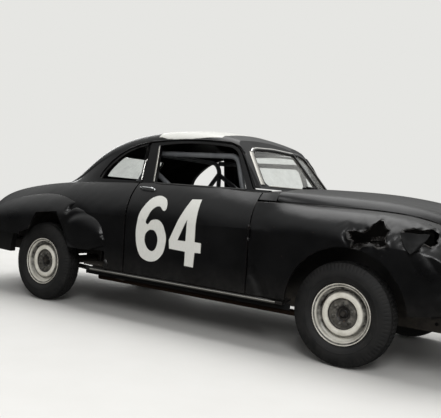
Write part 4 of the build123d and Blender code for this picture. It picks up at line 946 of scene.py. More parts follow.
# strips up and over each windshield pane: (y, z) points, width, height and finish
paneStrips = {
    "pillarMoulding": ([(0.602, 1.186), (0.582, 1.24), (0.514, 1.412), (0.497, 1.44)],
                       0.044, 0.007, dullStainless),
    "headerMoulding": ([(0.492, 1.448), (0.462, 1.47), (0.41, 1.482), (0.22, 1.491), (0.01, 1.48)],
                       0.016, 0.006, stainless),
    "glassGasket": ([(0.585, 1.181), (0.5, 1.41), (0.482, 1.441), (0.448, 1.465), (0.406, 1.474),
                     (0.22, 1.483), (0.01, 1.47)], 0.014, 0.005, sealRubber)}
# strips on each side: (x, z) points, width, height, finish, spacing and the node that carries them
sideStrips = {
    "rainGutter": ([(0.846, 1.17), (0.76, 1.3), (0.688, 1.42), (0.636, 1.478), (0.56, 1.503), (0.35, 1.514),
                    (0.15, 1.513), (-0.05, 1.504), (-0.215, 1.489), (-0.33, 1.464), (-0.45, 1.427),
                    (-0.56, 1.372), (-0.65, 1.305), (-0.72, 1.22), (-0.745, 1.165)],
                   0.014, 0.011, bodyPaint, 0.02, "cab"),
    "doorChannel": ([(-0.094, 1.156), (-0.104, 1.3), (-0.119, 1.452)],
                    0.016, 0.006, dullStainless, 0.02, "door"),
    "quarterChannel": ([(-0.232, 1.16), (-0.238, 1.446)], 0.012, 0.006, stainless, 0.02, "quarter"),
    "doorSillRubber": ([(-0.08, 1.141), (0.3, 1.141), (0.77, 1.141)], 0.014, 0.007, sealRubber, 0.02, "door"),
    "quarterRubber": ([(-0.722, 1.152), (-0.706, 1.204), (-0.664, 1.256), (-0.56, 1.335), (-0.476, 1.392),
                       (-0.36, 1.436), (-0.262, 1.46)], 0.01, 0.006, sealRubber, 0.02, "quarter"),
    "rockerMoulding": ([(-0.59, 0.372), (1.205, 0.372)], 0.016, 0.006, dullStainless, 0.04, "rocker")}
flange = {"back": -0.68, "front": 1.3, "aside": 0.826, "wave": 0.002, "top": 0.374, "step": 0.016}
handle = {"back": -0.165, "long": 0.165, "z": 1.088, "fall": 0.004, "lift": 0.024}
# bosses of the door handle: place along the grip, radius and rise
handleBosses = {"front": (13, 0.013, 0.006), "rear": (1, 0.011, 0.006)}
for side, out in sides:
    carriers = {"cab": cabOnly, "door": surfaceOf(f"door_{side}"), "rocker": surfaceOf("rocker_panels"),
                "quarter": surfaceOf("cab_shell", f"quarter_{side}")}
    for name, (line, width, height, material) in paneStrips.items():
        frontTrim(f"{name}_{side}", [(out * y, z) for y, z in line], width, height, material)
    for name, (line, width, height, material, step, carrier) in sideStrips.items():
        body = f"door_{side}" if carrier == "door" else "body"
        sideTrim(f"{name}_{side}", line, side, width, height, material, body, carriers[carrier], step)
    # weld flange hanging under the rocker, a little wavy, in near-black enamel: a dark sheet as painted shade
    # under the sill
    rows = []
    for k in range(4):
        rows.append([])
        for j in range(61):
            x = flange["back"] + (flange["front"] - flange["back"]) * j / 60
            y = flange["aside"] + flange["wave"] * math.sin(0.9 * j + k)
            rows[-1].append(Vector((x, out * y, flange["top"] - flange["step"] * k)))
    sheetFrom(f"rockerFlange_{side}", rows, (0, out, 0), 0.0016, shadeBlackPaint)
    # door handle: two posts and a grip
    grip, posts = [], []
    for k in range(15):
        t = k / 14
        spot = (handle["back"] + handle["long"] * t, out * 1.3, handle["z"] - handle["fall"] * t)
        hit, normal = landOn(carriers["door"], spot, (0, -out, 0))
        grip.append(hit + normal * handle["lift"] * min(1.0, 4.5 * t, 4.5 * (1 - t) + 0.25))
        posts.append((hit, normal))
    sweepStrip(f"doorHandle_{side}", grip, [post[1] for post in posts], roundProfile(0.0075, 12, 0.0055),
               chrome, f"door_{side}")
    for label, (share, radius, rise) in handleBosses.items():
        hit, normal = posts[share]
        turnedPiece(f"handleBoss_{label}_{side}", [(-0.002, 0.0), (-0.002, radius), (rise * 0.5, radius),
                    (rise, radius * 0.8), (0.022, radius * 0.45), (0.024, 0.0)], 24,
                    Matrix.Translation(hit) @ normal.to_track_quat("Z", "Y").to_matrix().to_4x4(), chrome,
                    f"door_{side}")

frontTrim("glassFootStrip", [(-0.552, 1.18), (-0.3, 1.181), (0.0, 1.182), (0.3, 1.181), (0.552, 1.18)], 0.012,
          0.006, dullStainless)
frontTrim("glassDivider", [(0.0, 1.176), (0.0, 1.3), (0.0, 1.478)], 0.02, 0.008, sealRubber,
          surfaceOf("cab_shell", "window_glass"), 0.05)

# seat, dash and controls

print("upholstering the seat")
low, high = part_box("seat")
seat = {"y": (low.y + high.y) / 2, "half": (high.y - low.y) / 2, "floor": low.z, "cap": 0.022, "voxel": 0.006,
        "channels": 5, "thick": 0.052}
floor = seat["floor"]
# side view of the bucket: (x, z) points round cushion and back
shell = [(-0.124, floor), (0.408, floor), (0.422, 0.56), (0.432, 0.592), (0.42, 0.612), (0.372, 0.606),
         (0.0, 0.563), (-0.04, 0.575), (-0.066, 0.62), (-0.196, 1.06), (-0.212, 1.086), (-0.232, 1.09),
         (-0.25, 1.07), (-0.25, 1.03)]
w = seat["half"]
cuts = ((-w, 0.985), (-w + 0.004, 0.996), (-w + 0.01, 1.0), (w - 0.01, 1.0), (w - 0.004, 0.996), (w, 0.985))
middle = sum((Vector(point) for point in shell), Vector((0, 0))) / len(shell)
verts = [(middle.x + (x - middle.x) * scale, seat["y"] + across, middle.y + (z - middle.y) * scale)
         for across, scale in cuts for x, z in shell]
mesh = meshFrom("seatShell", verts, ringFaces(len(cuts), len(shell)))
cleanNormals(mesh)
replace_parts(finishMesh("seatShell", mesh, dashPaint, creaseDegrees=30.0), "seat")


def plumpPad(name, length, width, thick, place):
    # crowned closed pad, filled by a cloth simulation, then pressed into sewn channels
    bm = bmesh.new()
    bmesh.ops.create_cube(bm, size=1.0)
    bmesh.ops.subdivide_edges(bm, edges=bm.edges, cuts=15, use_grid_fill=True)
    for vert in bm.verts:
        u, v, t = vert.co * 2
        corner = 1.0 - 0.1 * (abs(u) ** 4) * (abs(v) ** 4)
        side = 1.0 - 0.16 * abs(t) ** 3
        crown = (1 - 0.55 * abs(u) ** 4) * (1 - 0.55 * abs(v) ** 4)
        vert.co = Vector((u * length / 2 * corner * side, v * width / 2 * corner * side,
                          t * thick / 2 * crown))
    pad = bpy.data.objects.new(name, bakedFrom(name, bm))
    bpy.context.scene.collection.objects.link(pad)
    remesh = pad.modifiers.new("remesh", "REMESH")
    remesh.mode = "VOXEL"
    remesh.voxel_size = seat["voxel"]
    bakeModifiers(pad)
    start = [vert.co.copy() for vert in pad.data.vertices]
    fill = pad.modifiers.new("fill", "CLOTH")
    fill.settings.use_pressure = True
    fill.settings.uniform_pressure_force = 4.0
    fill.settings.effector_weights.gravity = 0.0
    for step in range(1, 21):
        bpy.context.scene.frame_set(step)
    bakeModifiers(pad)
    bpy.context.scene.frame_set(1)
    for vert, rest in zip(pad.data.vertices, start):
        moved = vert.co - rest
        if moved.length > seat["cap"]:
            vert.co = rest + moved.normalized() * seat["cap"]
    finer = pad.modifiers.new("finer", "SUBSURF")
    finer.levels = finer.render_levels = 1
    bakeModifiers(pad)
    # sewn channels, an odd number of them, that fade out towards the ends
    pitch, reach = width / seat["channels"], 0.42 * length
    for vert in pad.data.vertices:
        x, y, z = vert.co
        if z < 0 or abs(x) > reach:
            continue
        near = abs(y / pitch % 1.0 - 0.5) * pitch
        fade = min(1.0, (reach - abs(x)) / 0.03) * min(1.0, z / 0.01)
        vert.co.z -= 0.0065 * fade * math.exp(-(near / 0.0045) ** 2)
    pad.data.transform(place)
    cleanNormals(pad.data, 0.000001)
    finishPiece(pad, seatVinyl, creaseDegrees=60.0)
    # piping sewn round the edge
    path = []
    for k in range(96):
        c, s = math.cos(math.tau * k / 96), math.sin(math.tau * k / 96)
        u, v = math.copysign(abs(c) ** 0.3, c), math.copysign(abs(s) ** 0.3, s)
        path.append(place @ Vector((u * (length / 2 + 0.001), v * (width / 2 + 0.001), 0.004)))
    up = (place.to_3x3() @ Vector((0, 0, 1))).normalized()
    sweepStrip(f"{name}Piping", path, [up] * len(path), roundProfile(0.0034, 8), seatVinyl, closed=True)


tilt = Matrix.Rotation(-math.atan2(0.045, 0.39), 4, "Y")
plumpPad("seatCushion", 0.375, 2 * w - 0.03, seat["thick"],
         Matrix.Translation((0.192, seat["y"], 0.6065)) @ tilt)
lean = Matrix((Vector((-0.28, 0, 0.96)), Vector((0, -1, 0)), Vector((0.96, 0, 0.28)))).transposed().to_4x4()
plumpPad("backCushion", 0.44, 2 * w - 0.036, 0.046, Matrix.Translation((-0.112, seat["y"], 0.846)) @ lean)

print("fitting gauges, pedals and the shift lever")


def gauge(name, y, z, radius):
    # bezel, face with marks and needle on the sloping dash
    at = Matrix.Translation((0.8215, y, z)) @ Matrix.Rotation(math.radians(-84), 4, "Y")
    bezel = [(-0.004, 1.0), (0.01, 1.0), (0.013, 0.95), (0.012, 0.89), (0.004, 0.87), (-0.004, 0.87)]
    disc = [(-0.004, 0.0), (-0.004, 0.88), (0.0035, 0.88), (0.0025, 0.0)]
    turnedPiece(f"{name}Bezel", [(rise, radius * share) for rise, share in bezel], 48, at, chrome)
    turnedPiece(f"{name}Face", [(rise, radius * share) for rise, share in disc], 48, at, gaugeFace)
    bm = bmesh.new()
    bmesh.ops.create_cube(bm, size=1.0)
    bmesh.ops.bevel(bm, geom=bm.edges, offset=0.08, segments=1, affect="EDGES")
    mark = bakedFrom("mark", bm)
    # eleven marks, long and short by turns, then the needle: turn, distance out, lift and three sizes
    strokes = [(math.radians(-130 + 26 * k), 0.74, 0.0036, 0.1 if k % 2 else 0.16, 0.035, 0.0008)
               for k in range(11)]
    strokes.append((2.5, 0.28, 0.0052, 0.78, 0.05, 0.001))
    marks = [(mark, at @ Matrix.Rotation(turn, 4, "Z") @ Matrix.Translation((radius * away, 0, lift))
              @ Matrix.Diagonal((radius * long, radius * wide, thick, 1)))
             for turn, away, lift, long, wide, thick in strokes]
    finishMesh(f"{name}Marks", joinMeshes(f"{name}Marks", marks), numberPaint, creaseDegrees=None)


for name, aside, z, radius in (("tachometer", 0.01, 1.004, 0.046), ("oilGauge", -0.13, 0.998, 0.027),
                               ("waterGauge", -0.2, 0.998, 0.027), ("ammeter", 0.13, 0.998, 0.027)):
    gauge(name, seat["y"] + aside, z, radius)

for name, y in (("clutchPedal", 0.42), ("brakePedal", 0.29), ("gasPedal", 0.19)):
    tubeAlong(f"{name}Arm", [(1.01, y, 0.78), (0.93, y, 0.73), (0.905, y, 0.6)], 0.008, chassisPaint)
    softBox(name, (0.886, y - 0.034, 0.545), (0.902, y + 0.034, 0.618), 0.004, sealRubber)
tubeAlong("shiftLever", [(0.64, 0.0, 0.5), (0.63, 0.0, 0.64), (0.56, 0.01, 0.82)], 0.008, chrome)
turnedPiece("shiftKnob", [(-0.02, 0.0), (-0.02, 0.009), (-0.008, 0.018), (0.006, 0.022), (0.018, 0.017),
            (0.023, 0.0)], 32, Matrix.Translation((0.558, 0.01, 0.828)), blackPlastic)

# engine bay

print("dressing the engine bay")
cover = [(-0.07, 0.956), (-0.07, 0.998), (-0.06, 1.014), (-0.04, 1.021), (0.04, 1.021), (0.06, 1.014),
         (0.07, 0.998), (0.07, 0.956)]
cuts = ((1.335, 0.9), (1.341, 0.97), (1.352, 1.0), (1.948, 1.0), (1.959, 0.97), (1.965, 0.9))
middle = 0.985
verts = [(x, y * scale, middle + (z - middle) * scale) for x, scale in cuts for y, z in cover]
mesh = meshFrom("valveCover", verts, ringFaces(len(cuts), len(cover)))
cleanNormals(mesh)
finishMesh("valveCover", mesh, dashPaint, creaseDegrees=30.0)
nutsOn("valveCoverNuts", [((x, 0.0, 1.02), (0, 0, 1)) for x in (1.44, 1.86)],
       {"Across Corners": 0.019, "Nut Height": 0.008, "Stud Radius": 0.004, "Stud Length": 0.014})
# turned parts standing upright: profile of (along, radius) pairs, steps, place and finish
upright = {
    "oilCap": ([(-0.004, 0.0), (-0.004, 0.03), (0.004, 0.033), (0.016, 0.033), (0.022, 0.028),
                (0.024, 0.0)], 36, (1.56, 0.0, 1.024), chrome),
    "carburettor": ([(0.0, 0.0), (0.0, 0.048), (0.008, 0.05), (0.01, 0.038), (0.04, 0.036), (0.044, 0.044),
                     (0.072, 0.046), (0.076, 0.034), (0.092, 0.032), (0.092, 0.0)], 32, (1.64, -0.262, 0.892),
                    zincBolt),
    "airCleaner": ([(0.0, 0.0), (0.0, 0.096), (0.006, 0.104), (0.014, 0.104), (0.016, 0.098), (0.054, 0.098),
                    (0.056, 0.104), (0.064, 0.104), (0.076, 0.084), (0.082, 0.03), (0.09, 0.012),
                    (0.09, 0.0)], 56, (1.64, -0.262, 0.98), dashPaint),
    "distributor": ([(0.0, 0.0), (0.0, 0.022), (0.04, 0.022), (0.046, 0.038), (0.078, 0.04), (0.092, 0.034),
                     (0.1, 0.016), (0.104, 0.0)], 36, (1.6, 0.268, 0.66), blackPlastic),
    "ignitionCoil": ([(0.0, 0.0), (0.0, 0.027), (0.12, 0.027), (0.124, 0.022), (0.134, 0.018), (0.144, 0.008),
                      (0.15, 0.0)], 32, (1.42, 0.262, 0.64), castIron),
    "radiatorCap": ([(0.0, 0.0), (0.0, 0.024), (0.014, 0.024), (0.016, 0.036), (0.024, 0.036), (0.03, 0.026),
                     (0.032, 0.0)], 32, (2.228, 0.15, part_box("radiator")[1].z + 0.006), chrome)}
for name, (profile, steps, spot, material) in upright.items():
    turnedPiece(name, profile, steps, Matrix.Translation(spot), material)
# intake and exhaust logs down the right side
tubeAlong("exhaustLog", [(1.352, -0.268, 0.79), (1.93, -0.268, 0.79)], 0.03, exhaustSteel, 20)
tubeAlong("intakeLog", [(1.42, -0.262, 0.87), (1.86, -0.262, 0.87)], 0.026, castIron, 20)
tubeAlong("exhaustDrop", [(1.45, -0.268, 0.785), (1.45, -0.262, 0.7), (1.45, -0.262, 0.64)], 0.026,
          exhaustSteel, 20)
for k in range(3):
    x = 1.43 + 0.21 * k
    tubeAlong(f"intakeBranch_{k}", [(x, -0.222, 0.876), (x, -0.256, 0.872)], 0.022, castIron, 16)
# spark plugs, whose porcelain takes the number's white
plugProfile = [(0.0, 0.0), (0.0, 0.011), (0.01, 0.011), (0.012, 0.0065), (0.034, 0.0055), (0.036, 0.0)]
plugLean = Matrix.Rotation(math.radians(-78), 4, "X")
for k in range(6):
    # exhaust branch, plug and lead of each cylinder
    x = 1.375 + 0.106 * k
    tubeAlong(f"exhaustBranch_{k}", [(x, -0.225, 0.842), (x, -0.262, 0.835), (x, -0.268, 0.8)], 0.02,
              exhaustSteel, 16, 0.02)
    turnedPiece(f"sparkPlug_{k}", plugProfile, 18, Matrix.Translation((x, 0.229, 0.85)) @ plugLean,
                numberPaint)
    c, s = math.cos(math.tau * k / 6), math.sin(math.tau * k / 6)
    tubeAlong(f"plugLead_{k}", [(1.6 + 0.022 * c, 0.268 + 0.022 * s, 0.752),
                                (1.6 + 0.03 * c, 0.29 + 0.02 * s, 0.8 + 0.006 * k),
                                (x, 0.31, 0.852), (x, 0.262, 0.858)], 0.0036, sealRubber, 8, 0.022)
# fan, pulleys and belt
aim = Matrix.Rotation(math.radians(90), 4, "Y")
pulley = [(-0.014, 0.0), (-0.014, 0.064), (-0.004, 0.07), (-0.001, 0.06), (0.001, 0.06), (0.004, 0.07),
          (0.014, 0.064), (0.014, 0.0)]
# turned parts on shafts that run fore and aft: profile, steps, place
onShafts = {
    "crankPulley": ([(a, r * 1.15) for a, r in pulley], 48, (2.006, 0.0, 0.47)),
    "fanPulley": ([(a, r * 0.9) for a, r in pulley], 48, (2.006, 0.0, 0.69)),
    "dynamoPulley": ([(a, r * 0.6) for a, r in pulley], 48, (2.006, 0.19, 0.7)),
    "dynamo": ([(0.0, 0.0), (0.0, 0.05), (0.012, 0.055), (0.15, 0.055), (0.16, 0.048), (0.16, 0.0)], 36,
               (1.832, 0.288, 0.7)),
    "fanHub": ([(0.0, 0.0), (0.0, 0.05), (0.006, 0.052), (0.044, 0.052), (0.048, 0.04), (0.06, 0.02),
                (0.062, 0.0)], 32, (2.012, 0, 0.69))}
for name, (profile, steps, spot) in onShafts.items():
    turnedPiece(name, profile, steps, Matrix.Translation(spot) @ aim, castIron)
# the belt's arcs round crank, dynamo and fan: centre, radius and degrees
beltPath = []
for y, z, radius, start, stop in ((0.0, 0.47, 0.072, 188, 340), (0.19, 0.7, 0.037, -20, 82),
                                  (0.0, 0.69, 0.056, 90, 184)):
    for k in range(9):
        turn = math.radians(start + (stop - start) * k / 8)
        beltPath.append(Vector((2.006, y + radius * math.cos(turn), z + radius * math.sin(turn))))
middle = sum(beltPath, Vector()) / len(beltPath)
sweepStrip("fanBelt", beltPath, [(q - middle).normalized() for q in beltPath],
           [(-0.006, -0.004), (-0.0075, 0.005), (0.0075, 0.005), (0.006, -0.004)], sealRubber, closed=True)
# four bowed blades, less steep towards their tips
blade = {"root": 0.045, "long": 0.135, "half": 0.03, "belly": 0.016, "bow": 0.004, "steep": 34, "ease": 10,
         "sheet": 0.0016}
blades = []
for k in range(4):
    verts = []
    for i in range(7):
        pitch = math.radians(blade["steep"] - blade["ease"] * i / 6)
        for j in range(5):
            u = j / 2 - 1
            chord = (blade["half"] + blade["belly"] * math.sin(math.pi * i / 6)) * u
            verts.append((chord * math.sin(pitch) + blade["bow"] * (1 - u ** 2), chord * math.cos(pitch),
                          blade["root"] + blade["long"] * i / 6))
    mesh = meshFrom("blade", verts, gridFaces(7, 5))
    thicken(mesh, blade["sheet"], (1, 0, 0))
    turn = Matrix.Rotation(math.tau * k / 4 + 0.4, 4, "X")
    blades.append((mesh, Matrix.Translation((2.052, 0, 0.69)) @ turn))
finishMesh("fanBlades", joinMeshes("fanBlades", blades), chassisPaint, creaseDegrees=40.0)
# hoses with clamps, and the radiator core
hoses = {"upperHose": [(2.19, 0.09, 0.88), (2.12, 0.085, 0.892), (2.03, 0.04, 0.925), (1.985, 0.02, 0.93)],
         "lowerHose": [(2.19, -0.19, 0.45), (2.11, -0.185, 0.452), (2.06, -0.15, 0.52), (1.99, -0.12, 0.56)]}
clampBand = [(0.0, 0.0236), (0.0, 0.0262), (0.012, 0.0262), (0.012, 0.0236)]
for name, path in hoses.items():
    tubeAlong(name, path, 0.024, sealRubber, 20, 0.04)
    for order, ends in enumerate((path[:2], path[:-3:-1])):
        a, b = Vector(ends[0]), Vector(ends[1])
        along = (b - a).to_track_quat("Z", "Y").to_matrix().to_4x4()
        turnedPiece(f"{name}Clamp_{order}", clampBand, 32, Matrix.Translation(a.lerp(b, 0.25)) @ along,
                    zincBolt)


def coreTree():
    # a flat stack of thin strips: the finned core of a radiator
    tree, given = newTool("finnedCore", (("Fin Size", "Vector", None), ("Fin Count", "Int", 60)))
    fin = addNode(tree, "GeometryNodeMeshCube", links={"Size": given["Fin Size"]})
    path = addNode(tree, "GeometryNodeMeshToCurve", links={"Mesh": given["Geometry"]})
    spots = addNode(tree, "GeometryNodeCurveToPoints", {"mode": "COUNT"},
                    links={"Curve": path.outputs[0], "Count": given["Fin Count"]})
    return closeTool(tree, given, {"Points": spots.outputs[0], "Instance": fin.outputs["Mesh"]})


finnedCore = coreTree()


def finRow(name, start, end, size, count):
    values = {"Fin Size": size, "Fin Count": count, "Finish": chassisPaint}
    piece = runTool(name, meshFrom(name, [start, end], [], [(0, 1)]), finnedCore, values)
    finishPiece(piece, chassisPaint, creaseDegrees=None)


low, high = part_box("radiator")
for label, x in (("front", high.x + 0.002), ("back", low.x - 0.002)):
    finRow(f"coreTubes_{label}", (x, low.y + 0.036, 0.654), (x, high.y - 0.036, 0.654),
           (0.005, 0.003, 0.4), 62)
    finRow(f"coreFins_{label}", (x, 0, 0.462), (x, 0, 0.846), (0.0035, high.y - low.y - 0.066, 0.0011), 120)
for name, z0, z1 in (("radiatorTank", high.z - 0.066, high.z + 0.01),
                     ("radiatorSump", low.z - 0.004, low.z + 0.058)):
    softBox(name, (low.x - 0.01, low.y - 0.002, z0), (high.x + 0.01, high.y + 0.002, z1), 0.01, chassisPaint)

# springs, dampers and lamp covers

print("hanging springs and dampers")
spring = {"x": 1.658, "y": 0.515, "radius": 0.05, "low": 0.256, "rise": 0.208, "turns": 6, "wire": 0.007}
lampHole = {"aside": 0.6, "z": 0.704, "screwCircle": 0.0875}
lampPlate = [(0.0, 0.0), (0.0, 0.094), (0.004, 0.097), (0.01, 0.097), (0.013, 0.092), (0.011, 0.084),
             (0.013, 0.07), (0.017, 0.0)]
for side, out in sides:
    path, arrows = [], []
    last = spring["turns"] * 20
    for k in range(last + 1):
        arrows.append(Vector((math.cos(math.tau * k / 20), math.sin(math.tau * k / 20), 0)))
        path.append(Vector((spring["x"], out * spring["y"], spring["low"] + spring["rise"] * k / last))
                    + spring["radius"] * arrows[-1])
    sweepStrip(f"coilSpring_{side}", path, arrows, roundProfile(spring["wire"], 10), chassisPaint)
    # rear damper: body and sleeve
    foot, top = Vector((-1.33, out * 0.33, 0.33)), Vector((-1.47, out * 0.3, 0.52))
    tubeAlong(f"damperBody_{side}", [foot, foot.lerp(top, 0.6)], 0.026, chassisPaint, 24)
    tubeAlong(f"damperSleeve_{side}", [foot.lerp(top, 0.5), top], 0.031, chassisPaint, 24)
    # axle clamps over the rear springs
    for order, x in enumerate((-1.297, -1.229)):
        tubeAlong(f"springClamp_{side}_{order}", [(x, out * 0.418, 0.25), (x, out * 0.418, 0.42),
                  (x, out * 0.478, 0.42), (x, out * 0.478, 0.25)], 0.006, zincBolt, 10, 0.02)
    # blanking plate over the headlamp hole, with a raised rim and screws
    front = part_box(f"fender_front_{side}")[1].x
    y0, z0 = out * lampHole["aside"], lampHole["z"]
    turnedPiece(f"lampPlate_{side}", lampPlate, 64,
                Matrix.Translation((front - 0.014, y0, z0)) @ aim, bodyPaint, creaseDegrees=30.0)
    nutsOn(f"lampPlateScrews_{side}", [((front - 0.002, y0 + y, z0 + z), (1, 0, 0))
                                       for y, z in roundProfile(lampHole["screwCircle"], 8)],
           {"Across Corners": 0.011, "Nut Height": 0.0035, "Stud Radius": 0.002, "Stud Length": 0.003})

# bolts that hold the bumpers
bars = surfaceOf("bumpers")
for end, x, arrow in (("front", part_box("bumpers")[1].x, 1), ("rear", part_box("bumpers")[0].x, -1)):
    hits = [landOn(bars, (x + arrow * 0.2, y, z), (-arrow, 0, 0))
            for y in (-0.415, -0.355, 0.355, 0.415) for z in (0.5, 0.56)]
    nutsOn(f"bumperBolts_{end}", [hit for hit in hits if hit[0] is not None and abs(hit[0].x - x) < 0.1],
           {"Across Corners": 0.026, "Nut Height": 0.01, "Stud Radius": 0.006, "Stud Length": 0.008})

# dark rubber lying under the hood seam, so no daylight shows through it
seamLine = [(1.13, 0.8, 1.064), (1.3, 0.744, 1.064), (1.658, 0.664, 1.06), (2.0, 0.599, 1.042),
            (2.2, 0.54, 0.998), (2.34, 0.49, 0.938), (2.425, 0.462, 0.872)]
baffle = {"x": 2.252, "inner": 0.302, "wide": 0.53, "foot": 0.402, "top": 0.94, "rib": 0.004}
for side, out in sides:
    path = spacedPoints([(x, out * (y - 0.006), z - 0.022) for x, y, z in seamLine], 0.03)
    sweepStrip(f"hoodSeal_{side}", path, [Vector((0, out * 0.5, 1)).normalized()] * len(path),
               [(-0.026, 0.0), (-0.026, 0.006), (0.0, 0.012), (0.026, 0.006), (0.026, 0.0)], sealRubber)
    bulb = spacedPoints([(x, out * (y - 0.021), z + 0.001) for x, y, z in seamLine], 0.03)
    sweepStrip(f"hoodBulb_{side}", bulb, [Vector((0, 0, 1))] * len(bulb), roundProfile(0.009, 12, 0.01),
               sealRubber)
    # ribbed dark sheet from the radiator out to the fender, standing in for shade so that the pale floor
    # can't show beside the core
    rows = []
    for i in range(33):
        rows.append([])
        for j in range(41):
            y = baffle["inner"] + baffle["wide"] * j / 40
            top = baffle["top"] - 0.1 * max(0.0, y - 0.5) - 1.1 * max(0.0, y - 0.72)
            z = baffle["foot"] + 0.09 * max(0.0, y - 0.5) + (top - baffle["foot"]) * i / 32
            rib = baffle["rib"] * max(0.0, math.sin(z * 70)) * min(1.0, j / 3, (40 - j) / 3)
            rows[-1].append(Vector((baffle["x"] + rib, out * y, z)))
    sheetFrom(f"shadeBaffle_{side}", rows, (1, 0, 0), 0.0012, dustyPaint)

# painted race number and roof patch

print("painting the number and the roof patch")
number = {"left": -0.098, "right": 0.551, "low": 0.524, "high": 1.041, "gap": 0.03, "film": 0.0006}
# plain block digits as outlines in a box one wide and 1.55 high; loops after the first are holes
digitSix = [
    [(0.86, 1.2), (0.9, 1.38), (0.72, 1.55), (0.44, 1.53), (0.18, 1.3), (0.03, 0.92), (0.0, 0.55),
     (0.08, 0.2), (0.3, 0.01), (0.6, 0.0), (0.86, 0.14), (0.99, 0.42), (0.96, 0.74), (0.78, 0.95),
     (0.52, 0.97), (0.34, 0.86), (0.38, 1.06), (0.5, 1.24), (0.66, 1.3)],
    [(0.52, 0.24), (0.34, 0.34), (0.28, 0.52), (0.38, 0.68), (0.56, 0.72), (0.7, 0.6), (0.72, 0.4),
     (0.64, 0.27)],
]
digitFour = [
    [(0.52, 1.54), (0.8, 1.55), (0.8, 0.58), (0.99, 0.57), (0.98, 0.33), (0.8, 0.33), (0.79, 0.0),
     (0.52, 0.01), (0.52, 0.33), (0.01, 0.34), (0.0, 0.55)],
    [(0.52, 0.57), (0.52, 1.06), (0.27, 0.57)],
]


def flatDigit(loops, smoothLoops):
    # outlines as a filled curve, turned to a flat mesh
    curve = bpy.data.curves.new("digit", "CURVE")
    curve.dimensions = "2D"
    curve.fill_mode = "BOTH"
    for loop in loops:
        spline = curve.splines.new("BEZIER")
        spline.bezier_points.add(len(loop) - 1)
        for point, (u, v) in zip(spline.bezier_points, loop):
            point.co = (u, v, 0)
            point.handle_left_type = point.handle_right_type = "AUTO" if smoothLoops else "VECTOR"
        spline.use_cyclic_u = True
        spline.resolution_u = 10
    holder = bpy.data.objects.new("digit", curve)
    bpy.context.scene.collection.objects.link(holder)
    graph = bpy.context.evaluated_depsgraph_get()
    mesh = bpy.data.meshes.new_from_object(holder.evaluated_get(graph), depsgraph=graph)
    bpy.data.objects.remove(holder)
    return mesh


def paintFilm(name, mesh, place, panel, out):
    # a flat mesh cut fine and laid on a side panel; place maps (u, v) to a point beside the car
    bm = bmesh.new()
    bm.from_mesh(mesh)
    bmesh.ops.remove_doubles(bm, verts=bm.verts, dist=0.0001)
    for vert in bm.verts:
        vert.co = place(vert.co.x, vert.co.y)
    splitLong(bm, 0.018, 7)
    for vert in bm.verts:
        hit, normal = landOn(panel, vert.co, (0, -out, 0))
        vert.co = hit + normal * 0.0004
    return bakedFrom(name, bm)


for side, out in sides:
    wide = (number["right"] - number["left"] - number["gap"]) / 2
    tall = (number["high"] - number["low"]) / 1.55
    films = []
    for order, (loops, soft) in enumerate(((digitSix, True), (digitFour, False))):
        start = number["left"] + order * (wide + number["gap"])

        def place(u, v, start=start, order=order, out=out):
            wobble = 0.01 * noise.noise(Vector((u * 2.2, v * 2.2, 4.0 * order + out)))
            x = start + u * wide + wobble
            if out > 0:
                x = number["left"] + number["right"] - x
            return Vector((x, out * 1.2, number["low"] + v * tall + wobble))

        film = paintFilm(f"digit{order}", flatDigit(loops, soft), place, surfaceOf(f"door_{side}"), out)
        films.append((film, Matrix.Identity(4)))
    sheet = joinMeshes(f"doorNumber_{side}", films)
    thicken(sheet, number["film"], (0, out, 0))
    finishMesh(f"doorNumber_{side}", sheet, numberPaint, f"door_{side}", 60.0)

roofPatch = {"back": -0.153, "front": 0.464, "half": 0.634, "along": 40, "across": 160}
roofTop = surfaceOf("cab_shell")
verts = []
for i in range(roofPatch["along"] + 1):
    for j in range(roofPatch["across"] + 1):
        u, v = i / roofPatch["along"], 2 * j / roofPatch["across"] - 1
        ragged = 0.005 * noise.noise(Vector((u * 9, v * 9, 2.0)))
        x = roofPatch["back"] + (roofPatch["front"] - roofPatch["back"]) * u + ragged
        y = roofPatch["half"] * v * (1 - 0.05 * (2 * u - 0.75) ** 2) + ragged
        hit, normal = landOn(roofTop, (x, y, 2.2), (0, 0, -1))
        verts.append(hit + normal * 0.0005)
sheet = meshFrom("roofPatch", verts, gridFaces(roofPatch["along"] + 1, roofPatch["across"] + 1))
thicken(sheet, number["film"], (0, 0, 1))
finishMesh("roofPatch", sheet, numberPaint, creaseDegrees=60.0)

# camera, floor and light

print("setting up camera, floor and light")
camera = {"place": (3.2526, -4.7264, 1.0795), "azimuth": 33.61, "down": 1.19, "roll": 4.54,
          "focalPixels": 628.1, "imageWidth": 441}
a, e, r = (math.radians(camera[key]) for key in ("azimuth", "down", "roll"))
forward = Vector((-math.sin(a) * math.cos(e), math.cos(a) * math.cos(e), -math.sin(e)))
level = Vector((math.cos(a), math.sin(a), 0))
upright = level.cross(forward)
right = level * math.cos(r) + upright * math.sin(r)
upward = -level * math.sin(r) + upright * math.cos(r)
lens = bpy.data.cameras.new("photoCamera")
lens.sensor_width = 36.0
lens.lens = camera["focalPixels"] / camera["imageWidth"] * 36.0
eye = bpy.data.objects.new("photoCamera", lens)
turn = Matrix((right, upward, -forward)).transposed().to_4x4()
eye.matrix_world = Matrix.Translation(camera["place"]) @ turn
bpy.context.scene.collection.objects.link(eye)
bpy.context.scene.camera = eye

